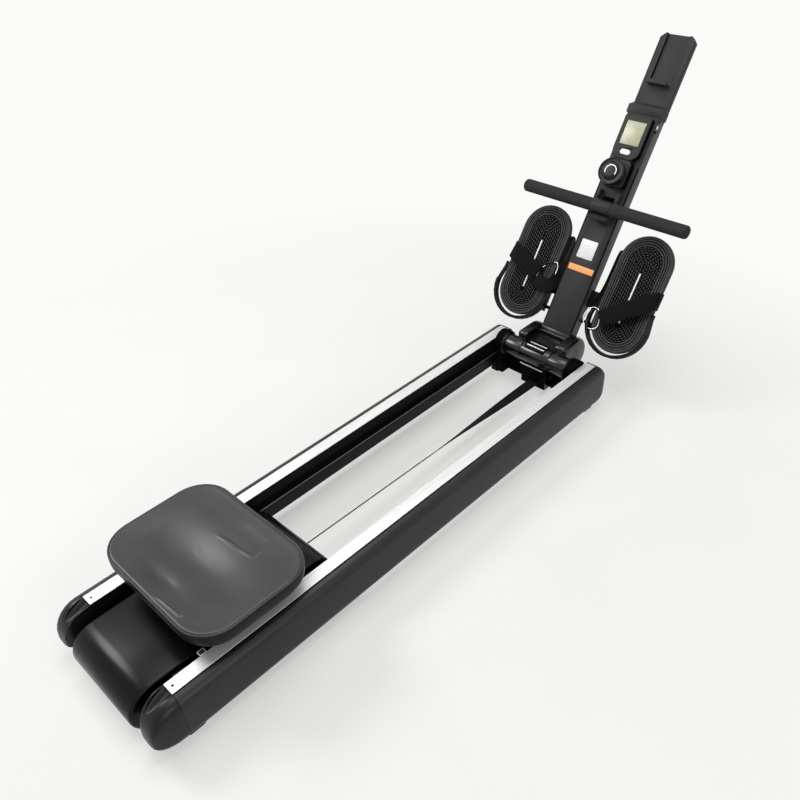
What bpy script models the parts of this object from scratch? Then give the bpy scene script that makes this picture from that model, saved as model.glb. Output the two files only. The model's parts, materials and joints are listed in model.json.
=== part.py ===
"""Magnetic rowing machine with a seat on two rails and a column that folds back over them.

X runs forward along the rails, Y to the rower's left, Z up from the floor.  Base pieces are
drawn in the machine frame, whose x is measured from the rear end of the bright rail strips.
Column pieces are drawn in the column frame: its origin is the fold axis, z runs up along the
column and x points away from the rower, so the column's front face looks towards -x.
"""
from math import asin, atan2, cos, hypot, pi, radians, sin, sqrt

import bmesh
import bpy
from mathutils import Matrix, Vector

MM = 0.001
GAP = 0.3 * MM
OVERSHOOT = 5 * MM

# Rails
STRIP_LENGTH = 1289 * MM
STRIP_WIDTH = 28 * MM
STRIP_THICK = 1.5 * MM
RAIL_TOP = 130 * MM
RAIL_WIDTH = 52.3 * MM
RAIL_ROOM = 21.7 * MM
SHOULDER_RADIUS = 20 * MM
BELLY_RADIUS = 30 * MM
BELLY_HEIGHT = 42 * MM
BELLY_TURN = 60
SHELL_WALL = 3 * MM
INNER_LIP_TOP = 47 * MM
INNER_LIP_LEAN = 24.3 * MM
CAP_STRAIGHT = 10 * MM
CAP_ROUND = 56 * MM
CAP_MIDDLE = 60 * MM
NOSE_STRAIGHT = 2 * MM
NOSE_ROUND = 26 * MM
NOSE_MIDDLE = 70 * MM
BEAM_WALL = 3 * MM
BEAM_SIDE_ROOM = 1.6 * MM
LEDGE_TOP = 94 * MM
LEDGE_THICK = 3 * MM
LEDGE_REACH = 12 * MM
LEDGE_STOP_SHORT = 84 * MM
FOOT_LENGTH = 38 * MM
FOOT_WIDTH = 26 * MM
FOOT_INSET = 7.3 * MM
FOOT_CORNER = 5 * MM
REAR_FOOT_X = 2 * MM
FRONT_FOOT_SETBACK = 35 * MM

# Rear housing and the drive inside it
HOUSING_WIDTH = 208 * MM
HOUSING_TOP = 117 * MM
HOUSING_BOTTOM = 10 * MM
HOUSING_REAR_CENTRE = -15 * MM
HOUSING_FRONT_CENTRE = 357 * MM
HOUSING_WALL = 3 * MM
HOUSING_EDGE = 6 * MM
TRAY_THICK = 5 * MM
TRAY_REAR = -17 * MM
TRAY_FRONT = 359 * MM
CROSS_TUBE_RADIUS = 10 * MM
CROSS_TUBE_HEIGHT = 65 * MM
CROSS_TUBE_WALL = 2 * MM
REAR_TUBE_X = 20 * MM
FRONT_TUBE_X = 215 * MM
FLYWHEEL_X = 76 * MM
FLYWHEEL_RADIUS = 86 * MM
FLYWHEEL_LOW = 20 * MM
FLYWHEEL_THICK = 20 * MM
FLYWHEEL_WEB_DEPTH = 5 * MM
FLYWHEEL_RIM_WIDTH = 24 * MM
HUB_RADIUS = 16 * MM
DRIVEN_PULLEY_RADIUS = 15 * MM
DRIVE_PULLEY_RADIUS = 60 * MM
BELT_WIDTH = 8 * MM
BELT_THICK = 1.5 * MM
PULLEY_FLANGE = 1.2 * MM
AXLE_RADIUS = 5 * MM
DRUM_X = 290 * MM
DRUM_Y = 5.5 * MM
STRAP_ROLL_RADIUS = 20 * MM
DRUM_FLANGE_RADIUS = 26 * MM
DRUM_FLANGE_THICK = 1.5 * MM
DRUM_ROOM = 1.3 * MM
SPRING_TURNS = 4
SPRING_INNER = 9 * MM
SPRING_OUTER = 23 * MM
SPRING_HEIGHT = 8 * MM
SPRING_LEAF = 0.8 * MM
MAGNET_CLEARANCE = 7 * MM
MAGNET_ARM_THICK = 10 * MM
MAGNET_ARM_START = 150
MAGNET_ARM_END = 208
MAGNET_PIVOT_RADIUS = 4 * MM
BELT_LEAVES_SMALL = 90
BELT_MEETS_SMALL = 270
STRAP_WIDTH = 32 * MM
STRAP_WEB = 1.5 * MM
STRAP_HEIGHT = 70 * MM
RUN_STEPS = 26
TWIST_DONE = 0.96

# Seat
SEAT_X = 192 * MM
SEAT_LENGTH = 267 * MM
SEAT_WIDTH = 360 * MM
SEAT_CORNER = 72 * MM
SEAT_TOP = 212 * MM
SEAT_PAD_THICK = 30 * MM
SEAT_PAD_ROUND = 9 * MM
SEAT_BASE_THICK = 13 * MM
SEAT_BASE_INSET = 10 * MM
CARRIAGE_LENGTH = 170 * MM
CARRIAGE_PLATE = 4 * MM
CARRIAGE_ROOM = 2 * MM
CARRIAGE_LEG_BOTTOM = 98 * MM
WHEEL_RADIUS = 12 * MM
WHEEL_WIDTH = 9 * MM
WHEEL_BASE = 140 * MM
STUB_RADIUS = 4 * MM
WHEEL_SIDE_ROOM = 1.2 * MM

# Fold axis, front bridge and strap pulley
FOLD_SETBACK = 35 * MM
PIVOT_Z = 113 * MM
COLUMN_TILT = 32.5
PIN_RADIUS = 7 * MM
BARREL_RADIUS = 28 * MM
BARREL_ROOM = 30.7 * MM
CENTRE_SEGMENT_HALF = 43.7 * MM
CHEEK_RADIUS = 34 * MM
CHEEK_THICK = 24 * MM
CHEEK_ARC_START = -30
CHEEK_ARC_END = 210
CHEEK_BOSS_RADIUS = 30 * MM
CHEEK_FOOT_REAR = 20 * MM
CHEEK_FOOT_FRONT = 44 * MM
BRIDGE_LOW = 20 * MM
BRIDGE_HIGH = 52 * MM
BRIDGE_REAR = 10 * MM
BRIDGE_FRONT = 78 * MM
COVER_BOX_HALF = 39 * MM
COVER_BOX_WALL = 3 * MM
COVER_BOX_REAR = -16 * MM
COVER_BOX_FRONT = 54 * MM
COVER_BOX_LOW = 24 * MM
COVER_BOX_HIGH = 64 * MM
COVER_BOX_NECK = 36 * MM
FRONT_PULLEY_RADIUS = 18 * MM
FRONT_PULLEY_BELOW = 45.7 * MM
FRONT_PULLEY_WIDTH = 36 * MM
STRAP_LINE = 60 * MM
STRAP_SPLIT = -15.5 * MM

# Column foot and column
ARM_RADIUS = 47.5 * MM
ARM_HALF = 76 * MM
ARM_ARC_START = -100
ARM_CENTRE = 67 * MM
ARM_REAR = 6 * MM
ARM_EDGE = 9 * MM
VALLEY_HEIGHT = 20 * MM
YOKE_ROOM = 1 * MM
ARM_UNDERCUT = 6 * MM
STRAP_CHANNEL_DEPTH = 8 * MM
STRAP_SIDE_ROOM = 2 * MM
COLUMN_FRONT = 41.5 * MM
COLUMN_DEPTH = 36 * MM
COLUMN_WIDTH = 91 * MM
COLUMN_BASE = 64 * MM
COLUMN_TOP = 668 * MM
COLUMN_WALL = 2.5 * MM
FRONT_COVER_THICK = 3 * MM
FRONT_COVER_START = 67 * MM
REST_WIDTH = 95 * MM
REST_THICK = 20 * MM
REST_TOP = 879 * MM
REST_COLLAR_WIDTH = 102 * MM
REST_COLLAR_HEIGHT = 22 * MM
REST_SLOPE_HEIGHT = 10 * MM
REST_CORNER = 12 * MM
RECESS_START = 757 * MM
RECESS_DEPTH = 8 * MM
RECESS_LEFT = 30 * MM
RECESS_RIGHT = 22 * MM
RECESS_RAMP = 15 * MM
LEDGE_WIDTH = 60 * MM
LEDGE_OUT = 22 * MM
REST_LEDGE_THICK = 5 * MM
REST_LEDGE_LIP = 5 * MM

# Console and tension knob
CONSOLE_LOW = 547 * MM
CONSOLE_HIGH = 660 * MM
CONSOLE_WIDTH = 78 * MM
CONSOLE_THICK = 17 * MM
CONSOLE_CORNER = 26 * MM
CONSOLE_TOP_CORNER = 5 * MM
SCREEN_LOW = 585.5 * MM
SCREEN_HIGH = 645.5 * MM
SCREEN_WIDTH = 54 * MM
SCREEN_THICK = 2.5 * MM
SCREEN_RECESS = 1 * MM
BUTTON_AT = 566.5 * MM
BUTTON_LENGTH = 28 * MM
BUTTON_HEIGHT = 13 * MM
BUTTON_PROUD = 1.8 * MM
BUTTON_THICK = 4 * MM
BUTTON_TRAVEL = 1.5 * MM
KNOB_BASE_LOW = 476 * MM
KNOB_BASE_HIGH = 548 * MM
KNOB_BASE_WIDTH = 66 * MM
KNOB_BASE_THICK = 23 * MM
KNOB_BASE_CORNER = 10 * MM
KNOB_AT = 507.5 * MM
KNOB_RADIUS = 32.5 * MM
KNOB_THICK = 30 * MM
KNOB_FLUTES = 20
KNOB_FLUTE_DEPTH = 1.2 * MM
KNOB_DISH = 2 * MM
KNOB_FACE_SHARES = (0.93, 0.86, 0.82)
KNOB_SHAFT = 5 * MM

# Handlebar and its cradle
BAR_AT = 418.7 * MM
BAR_OUT = 20.3 * MM
BAR_HALF = 244 * MM
GRIP_RADIUS = 17 * MM
BAR_TUBE_RADIUS = 11 * MM
BAR_TUBE_WALL = 2 * MM
GRIP_END_WALL = 4 * MM
GRIP_END_ROUND = 8 * MM
COLLAR_HALF = 28 * MM
COLLAR_RADIUS = 17.5 * MM
PULL_RISE = 10
CRADLE_LOW = 384 * MM
CRADLE_HIGH = 470 * MM
CRADLE_WIDTH = 66 * MM
CRADLE_PLATE = 2.6 * MM
SHELF_HALF = 27 * MM
SHELF_REACH = 38 * MM
SHELF_THICK = 5 * MM
POST_LOW = 442 * MM
POST_HIGH = 464 * MM
POST_WIDTH = 9 * MM
POST_REACH = 14 * MM
ROLLER_RADIUS = 8 * MM
ROLLER_WIDTH = 34 * MM
ROLLER_PIN_RADIUS = 2.5 * MM
EAR_THICK = 2.5 * MM
EAR_REACH = 17 * MM
EXIT_SLOT_LOW = 407 * MM
EXIT_SLOT_HIGH = 450 * MM

# Footrests
PEDAL_BACK = 56.4 * MM
PEDAL_UP = 234.2 * MM
PEDAL_SIDE = 153.8 * MM
PEDAL_LEAN = 2.0
PAD_LENGTH = 315 * MM
PAD_WIDTH = 147 * MM
PAD_THICK = 16 * MM
PAD_ROUND = 3 * MM
SLOT_LOW = -79 * MM
SLOT_HIGH = 59 * MM
SLOT_WIDTH = 3.6 * MM
HEEL_OFFSET = 10.5 * MM
HEEL_THICK = 8 * MM
HEEL_FRONT = -9 * MM
HEEL_END_FRONT = -1 * MM
HEEL_BACK = 7 * MM
HEEL_TOP = -28 * MM
HEEL_BLEND = 26 * MM
STRAP_BAND = 45 * MM
STRAP_BAND_THICK = 2.4 * MM
RING_LENGTH = 46 * MM
RING_HEIGHT = 54 * MM
RING_WIRE = 2.2 * MM
RING_BAR_SHARES = (0.96, 0.5, 0, -0.5, -0.96)
RING_BOW_SHARE = 0.98
RING_BOW_OUT = 2 * MM
RING_BOW_STEPS = 12
BAND_SHARES = (0.12, 0.3, 0.5, 0.7, 0.88)
BAND_TAIL = 16 * MM
LEFT_STRAP = {"outer_z": 11 * MM, "ring_y": -51 * MM, "ring_z": -30 * MM, "arch": 12 * MM}
RIGHT_STRAP = {"outer_z": 7 * MM, "ring_y": -68 * MM, "ring_z": -84 * MM, "arch": 16 * MM}
LOWER_ROD_AT = 126 * MM
LOWER_ROD_RADIUS = 5 * MM
BRACKET_LOW = 166 * MM
BRACKET_HIGH = 212 * MM
BRACKET_THICK = 9 * MM
RUNNER_JOIN = 6 * MM
RUNNER_WIDTH = 26 * MM
RUNNER_LOW = 112 * MM
RUNNER_HIGH = 322 * MM
RUNNER_DEPTH = 9 * MM

ROUND_STEPS = 32
SMALL_STEPS = 16
ARC_STEPS = 6
END_TURN = 84

# Fits worked out from the sizes above
RAIL_INNER = HOUSING_WIDTH / 2 + RAIL_ROOM
RAIL_OUTER = RAIL_INNER + RAIL_WIDTH
FOOT_INNER = RAIL_INNER + FOOT_INSET
FRONT_FOOT_X = STRIP_LENGTH - FRONT_FOOT_SETBACK
CARRIAGE_LEG_INNER = HOUSING_WIDTH / 2 + CARRIAGE_ROOM
BARREL_HALF = RAIL_INNER - BARREL_ROOM
PIVOT_X = STRIP_LENGTH - FOLD_SETBACK
RAIL_BOTTOM = BELLY_HEIGHT - BELLY_RADIUS * sin(radians(BELLY_TURN))
STRIP_INNER = RAIL_INNER + 1.3 * MM
STRIP_OUTER = STRIP_INNER + STRIP_WIDTH
BEAM_TOP = RAIL_TOP - STRIP_THICK - GAP
BEAM_INNER = RAIL_INNER + GAP
BEAM_OUTER = STRIP_OUTER + BEAM_SIDE_ROOM
BEAM_BOTTOM = INNER_LIP_TOP + 2 * GAP
LEDGE_FRONT = STRIP_LENGTH - LEDGE_STOP_SHORT
PIVOT = Vector((PIVOT_X, 0, PIVOT_Z))
TILT = radians(COLUMN_TILT)
COLUMN_BACK = COLUMN_FRONT + COLUMN_DEPTH
HOUSING_ROUND = (HOUSING_TOP - HOUSING_BOTTOM) / 2
HOUSING_FRONT = HOUSING_FRONT_CENTRE + HOUSING_ROUND
REAR_END = HOUSING_REAR_CENTRE - HOUSING_ROUND
FRONT_END = PIVOT_X + REST_TOP * sin(TILT) + COLUMN_BACK * cos(TILT)
CENTRE_X = (REAR_END + FRONT_END) / 2
TRAY_TOP = HOUSING_BOTTOM + TRAY_THICK
BELT_LOW = FLYWHEEL_LOW + FLYWHEEL_THICK + 2 * MM
WHEEL_Z = LEDGE_TOP + WHEEL_RADIUS + GAP
WHEEL_Y = RAIL_INNER - WHEEL_SIDE_ROOM - WHEEL_WIDTH / 2
BEARING_ROOM = 0.3 * MM


def clear_scene():
    for thing in list(bpy.data.objects):
        bpy.data.objects.remove(thing, do_unlink=True)


def finish(name, colour, roughness, metallic=0.0):
    skin = bpy.data.materials.new(name)
    skin.use_nodes = True
    shader = skin.node_tree.nodes["Principled BSDF"]
    shader.inputs["Base Color"].default_value = (*colour, 1)
    shader.inputs["Roughness"].default_value = roughness
    shader.inputs["Metallic"].default_value = metallic
    return skin


def make_finishes():
    return {
        "shell": finish("satin_black_shell", (0.022, 0.022, 0.023), 0.38),
        "cover": finish("satin_black_cover", (0.028, 0.028, 0.029), 0.42),
        "steel_black": finish("black_painted_steel", (0.018, 0.018, 0.018), 0.45),
        "column": finish("charcoal_painted_steel", (0.045, 0.045, 0.045), 0.48),
        "strip": finish("brushed_aluminium", (0.86, 0.86, 0.86), 0.28, 1.0),
        "rubber": finish("black_rubber", (0.015, 0.015, 0.015), 0.85),
        "foam": finish("grey_foam", (0.035, 0.035, 0.036), 0.9),
        "seat": finish("seat_skin", (0.06, 0.06, 0.06), 0.5),
        "iron": finish("turned_iron", (0.35, 0.35, 0.36), 0.4, 1.0),
        "steel": finish("bright_steel", (0.6, 0.6, 0.62), 0.3, 1.0),
        "spring": finish("spring_steel", (0.3, 0.3, 0.33), 0.35, 1.0),
        "chrome": finish("chromed_wire", (0.85, 0.85, 0.87), 0.08, 1.0),
        "webbing": finish("black_webbing", (0.015, 0.015, 0.016), 0.8),
        "screen": finish("display_window", (0.55, 0.58, 0.42), 0.25),
        "button": finish("white_button", (0.85, 0.85, 0.84), 0.4),
        "nylon": finish("grey_nylon", (0.25, 0.25, 0.25), 0.5),
    }


def add_frame(name, place, turn=0.0, parent=None):
    frame = bpy.data.objects.new(name, None)
    bpy.context.scene.collection.objects.link(frame)
    frame.location = place
    frame.rotation_euler = (0, turn, 0)
    frame.parent = parent
    return frame


def add_object(name, bm, skin, parent, origin=(0, 0, 0)):
    """A named object whose mesh was drawn in its parent's frame, with its origin at a given point."""
    bmesh.ops.translate(bm, verts=bm.verts[:], vec=-Vector(origin))
    bmesh.ops.recalc_face_normals(bm, faces=bm.faces[:])
    mesh = bpy.data.meshes.new(name)
    bm.to_mesh(mesh)
    bm.free()
    mesh.shade_smooth()
    mesh.set_sharp_from_angle(angle=radians(35))
    thing = bpy.data.objects.new(name, mesh)
    bpy.context.scene.collection.objects.link(thing)
    thing.location = origin
    thing.parent = parent
    if skin:
        mesh.materials.append(skin)
    return thing


def add_tool(name, bm, parent):
    tool = add_object(name, bm, None, parent)
    tool.hide_render = True
    tool.display_type = "WIRE"
    return tool


def combine(thing, tool, operation):
    step = thing.modifiers.new(operation.lower(), "BOOLEAN")
    step.operation = operation
    step.solver = "EXACT"
    step.object = tool


def cut(thing, bm, parent):
    combine(thing, add_tool(thing.name + "_cutter", bm, parent), "DIFFERENCE")


def fuse(thing, bm, parent):
    combine(thing, add_tool(thing.name + "_addition", bm, parent), "UNION")


def soften(thing, width, segments=2, angle=40):
    step = thing.modifiers.new("rounded_edges", "BEVEL")
    step.width = width
    step.segments = segments
    step.limit_method = "ANGLE"
    step.angle_limit = radians(angle)


def arc(centre_a, centre_b, radius, start, end, steps=ARC_STEPS):
    """Points on an arc, angles in degrees, both ends included."""
    points = []
    for step in range(steps + 1):
        angle = radians(start + (end - start) * step / steps)
        points.append((centre_a + radius * cos(angle), centre_b + radius * sin(angle)))
    return points


def rounded_outline(low_a, high_a, low_b, high_b, radius, steps=ARC_STEPS):
    return (arc(high_a - radius, high_b - radius, radius, 0, 90, steps)
            + arc(low_a + radius, high_b - radius, radius, 90, 180, steps)
            + arc(low_a + radius, low_b + radius, radius, 180, 270, steps)
            + arc(high_a - radius, low_b + radius, radius, 270, 360, steps))


def point_on(along, height, a, b):
    if along == "x":
        return Vector((height, a, b))
    if along == "y":
        return Vector((a, height, b))
    return Vector((a, b, height))


def prism(outline, low, high, along, bm=None):
    """A straight extrusion of an outline along one axis."""
    bm = bm or bmesh.new()
    foot = [bm.verts.new(point_on(along, low, a, b)) for a, b in outline]
    face = bm.faces.new(foot)
    grown = bmesh.ops.extrude_face_region(bm, geom=[face], use_keep_orig=True)
    moved = [item for item in grown["geom"] if isinstance(item, bmesh.types.BMVert)]
    bmesh.ops.translate(bm, verts=moved, vec=point_on(along, high - low, 0, 0))
    return bm


def box(low, high, bm=None):
    outline = [(low[0], low[1]), (high[0], low[1]), (high[0], high[1]), (low[0], high[1])]
    return prism(outline, low[2], high[2], "z", bm)


def turned(profile, centre, along, steps=ROUND_STEPS, bm=None):
    """A turned body: profile points are (radius, height) and the axis runs through the centre."""
    bm = bm or bmesh.new()
    axis = point_on(along, 1, 0, 0)
    side = point_on(along, 0, 1, 0)
    centre = Vector(centre)
    verts = [bm.verts.new(centre + axis * height + side * radius) for radius, height in profile]
    edges = [bm.edges.new(pair) for pair in zip(verts, verts[1:])]
    if profile[0][0] > 0:
        edges.append(bm.edges.new((verts[-1], verts[0])))
    bmesh.ops.spin(bm, geom=verts + edges, cent=centre, axis=axis, angle=2 * pi, steps=steps)
    bmesh.ops.remove_doubles(bm, verts=bm.verts[:], dist=0.001 * MM)
    return bm


def rod(centre, radius, low, high, along, steps=SMALL_STEPS):
    centre = Vector(centre)
    rings = []
    for height in (low, high):
        rings.append([centre + point_on(along, height, radius * cos(2 * pi * k / steps),
                                        radius * sin(2 * pi * k / steps)) for k in range(steps)])
    return lofted(rings)


def ring_of(radius, bore, low, high, centre, along, steps=ROUND_STEPS, bm=None):
    return turned([(bore, low), (radius, low), (radius, high), (bore, high)], centre, along, steps, bm)


def lofted(rings, closed=False, bm=None):
    """Equal rings of points bridged in order, with the ends filled or joined to each other."""
    bm = bm or bmesh.new()
    rows = [[bm.verts.new(point) for point in ring] for ring in rings]
    pairs = list(zip(rows, rows[1:]))
    if closed:
        pairs.append((rows[-1], rows[0]))
    count = len(rows[0])
    for near, far in pairs:
        for index in range(count):
            after = (index + 1) % count
            bm.faces.new((near[index], near[after], far[after], far[index]))
    if not closed:
        bm.faces.new(rows[0])
        bm.faces.new(rows[-1])
    return bm


def band_ring(centre, half_width, half_thick):
    """The four corners of a flat strap's cross-section."""
    return [centre + half_width + half_thick, centre - half_width + half_thick,
            centre - half_width - half_thick, centre + half_width - half_thick]


def place_in(bm, frame):
    """Turns a body drawn in the machine frame into the frame of the column."""
    bpy.context.view_layer.update()
    bmesh.ops.transform(bm, matrix=frame.matrix_local.inverted(), verts=bm.verts[:])
    return bm


def mirrored_name(side, name):
    return ("left_" if side > 0 else "right_") + name


def column_to_machine(x, z):
    """A point of the column's XZ plane, standing as at rest, in the machine frame."""
    return Vector((PIVOT_X + x * cos(TILT) + z * sin(TILT), 0, PIVOT_Z - x * sin(TILT) + z * cos(TILT)))


def rail_outline():
    """The rail's whole outer section, as (distance from the middle, height)."""
    top = BEAM_TOP
    return ([(RAIL_INNER, INNER_LIP_TOP - SHELL_WALL), (RAIL_INNER, top)]
            + arc(RAIL_OUTER - SHOULDER_RADIUS, top - SHOULDER_RADIUS, SHOULDER_RADIUS, 90, 0)
            + arc(RAIL_OUTER - BELLY_RADIUS, BELLY_HEIGHT, BELLY_RADIUS, 0, -BELLY_TURN)
            + [(RAIL_INNER + INNER_LIP_LEAN, RAIL_BOTTOM)])


def rail_cavity():
    """What is cut out of the shell: the room for the beam and the hollow behind the wall."""
    wall = SHELL_WALL
    slant_wall = wall * 1.4
    middle = RAIL_INNER - LEDGE_REACH
    turn = asin((BELLY_HEIGHT - RAIL_BOTTOM - wall) / (BELLY_RADIUS - wall)) * 180 / pi
    return ([(middle, RAIL_TOP + OVERSHOOT), (middle, INNER_LIP_TOP),
             (RAIL_INNER + slant_wall, INNER_LIP_TOP), (RAIL_INNER + slant_wall, INNER_LIP_TOP - wall),
             (RAIL_INNER + INNER_LIP_LEAN + wall / 2, RAIL_BOTTOM + wall)]
            + arc(RAIL_OUTER - BELLY_RADIUS, BELLY_HEIGHT, BELLY_RADIUS - wall, -turn, 0)
            + arc(RAIL_OUTER - SHOULDER_RADIUS, BEAM_TOP - SHOULDER_RADIUS, SHOULDER_RADIUS - wall, 0, 90)
            + [(BEAM_OUTER + GAP, BEAM_TOP - wall), (BEAM_OUTER + GAP, RAIL_TOP + OVERSHOOT)])


def rail_ring(side, x, shrink, middle_z):
    """One ring of the rail's outer section, drawn in towards its middle by a factor."""
    middle_y = (RAIL_INNER + RAIL_OUTER) / 2
    across = shrink ** 0.35
    return [Vector((x, side * (middle_y + (w - middle_y) * across), middle_z + (z - middle_z) * shrink))
            for w, z in rail_outline()]


def rounded_end(side, start, straight, length, middle_z):
    """The rings of a rounded rail end.  A negative length rounds it towards the rear."""
    rings = [rail_ring(side, start, 1.0, middle_z)]
    for step in range(ARC_STEPS + 2):
        angle = radians(END_TURN * step / (ARC_STEPS + 1))
        x = start + straight + length * sin(angle)
        rings.append(rail_ring(side, x, cos(angle), middle_z))
    return rings


def make_rail(side, machine, skins):
    rings = rounded_end(side, STRIP_LENGTH + GAP, NOSE_STRAIGHT, NOSE_ROUND, NOSE_MIDDLE)
    rings.insert(0, rail_ring(side, 0, 1.0, NOSE_MIDDLE))
    shell = add_object(mirrored_name(side, "rail_shell"), lofted(rings), skins["shell"], machine)
    cavity = [(side * w, z) for w, z in rail_cavity()]
    cut(shell, prism(cavity, -OVERSHOOT, STRIP_LENGTH, "x"), machine)

    rings = rounded_end(side, -GAP, GAP - CAP_STRAIGHT, -CAP_ROUND, CAP_MIDDLE)
    add_object(mirrored_name(side, "rear_cap"), lofted(rings), skins["shell"], machine)

    outer = [(BEAM_INNER, BEAM_BOTTOM), (BEAM_OUTER, BEAM_BOTTOM), (BEAM_OUTER, BEAM_TOP),
             (BEAM_INNER, BEAM_TOP)]
    beam = add_object(mirrored_name(side, "rail_beam"),
                      prism([(side * w, z) for w, z in outer], GAP, STRIP_LENGTH - GAP, "x"),
                      skins["steel_black"], machine)
    ledge = [(BEAM_INNER - LEDGE_REACH, LEDGE_TOP - LEDGE_THICK),
             (BEAM_INNER + BEAM_WALL / 2, LEDGE_TOP - LEDGE_THICK),
             (BEAM_INNER + BEAM_WALL / 2, LEDGE_TOP), (BEAM_INNER - LEDGE_REACH, LEDGE_TOP)]
    fuse(beam, prism([(side * w, z) for w, z in ledge], GAP, LEDGE_FRONT, "x"), machine)
    hollow = [(BEAM_INNER + BEAM_WALL, BEAM_BOTTOM + BEAM_WALL),
              (BEAM_OUTER - BEAM_WALL, BEAM_BOTTOM + BEAM_WALL),
              (BEAM_OUTER - BEAM_WALL, BEAM_TOP - BEAM_WALL),
              (BEAM_INNER + BEAM_WALL, BEAM_TOP - BEAM_WALL)]
    cut(beam, prism([(side * w, z) for w, z in hollow], -OVERSHOOT, STRIP_LENGTH + OVERSHOOT, "x"),
        machine)

    strip = box((0, min(side * STRIP_INNER, side * STRIP_OUTER), RAIL_TOP - STRIP_THICK),
                (STRIP_LENGTH, max(side * STRIP_INNER, side * STRIP_OUTER), RAIL_TOP))
    add_object(mirrored_name(side, "rail_strip"), strip, skins["strip"], machine)

    for word, x in (("rear", REAR_FOOT_X), ("front", FRONT_FOOT_X)):
        ends = sorted((side * FOOT_INNER, side * (FOOT_INNER + FOOT_WIDTH)))
        outline = rounded_outline(x, x + FOOT_LENGTH, ends[0], ends[1], FOOT_CORNER, 3)
        foot = prism(outline, 0, RAIL_BOTTOM - GAP, "z")
        add_object(mirrored_name(side, word + "_foot"), foot, skins["rubber"], machine)


def housing_profile(inset):
    """The housing's long section, drawn in by a wall."""
    middle = HOUSING_BOTTOM + HOUSING_ROUND
    return (arc(HOUSING_REAR_CENTRE, middle, HOUSING_ROUND - inset, 270, 90, 16)
            + arc(HOUSING_FRONT_CENTRE, middle, HOUSING_ROUND - inset, 90, -90, 16))


def make_housing(machine, skins):
    half = HOUSING_WIDTH / 2
    cover = add_object("rear_housing_cover", prism(housing_profile(0), -half, half, "y"),
                       skins["cover"], machine)
    soften(cover, HOUSING_EDGE, 3, 60)
    inner = half - HOUSING_WALL
    cut(cover, prism(housing_profile(HOUSING_WALL), -inner, inner, "y"), machine)
    mouth = box((TRAY_REAR, -inner, HOUSING_BOTTOM - OVERSHOOT), (TRAY_FRONT, inner, TRAY_TOP))
    cut(cover, mouth, machine)
    for x in (REAR_TUBE_X, FRONT_TUBE_X):
        hole = rod((x, 0, CROSS_TUBE_HEIGHT), CROSS_TUBE_RADIUS + BEARING_ROOM, -2 * half, 2 * half, "y",
                   ROUND_STEPS)
        cut(cover, hole, machine)
    start, end = strap_run()
    exit_point = start.lerp(end, (HOUSING_FRONT - start.x) / (end.x - start.x))
    slot_half = STRAP_WIDTH / 2 + STRAP_SIDE_ROOM
    room = 2 * STRAP_SIDE_ROOM
    slot = box((HOUSING_FRONT - 4 * HOUSING_WALL, exit_point.y - room, exit_point.z - slot_half),
               (HOUSING_FRONT + OVERSHOOT, exit_point.y + room, exit_point.z + slot_half))
    cut(cover, slot, machine)

    tray = box((TRAY_REAR + GAP, -inner + GAP, HOUSING_BOTTOM),
               (TRAY_FRONT - GAP, inner - GAP, TRAY_TOP - GAP))
    add_object("rear_housing_tray", tray, skins["steel_black"], machine)

    reach = BEAM_INNER - GAP
    for name, x in (("rear_cross_tube", REAR_TUBE_X), ("drive_cross_tube", FRONT_TUBE_X)):
        tube = ring_of(CROSS_TUBE_RADIUS, CROSS_TUBE_RADIUS - CROSS_TUBE_WALL, -reach, reach,
                       (x, 0, CROSS_TUBE_HEIGHT), "y", ROUND_STEPS)
        add_object(name, tube, skins["steel_black"], machine)


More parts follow.
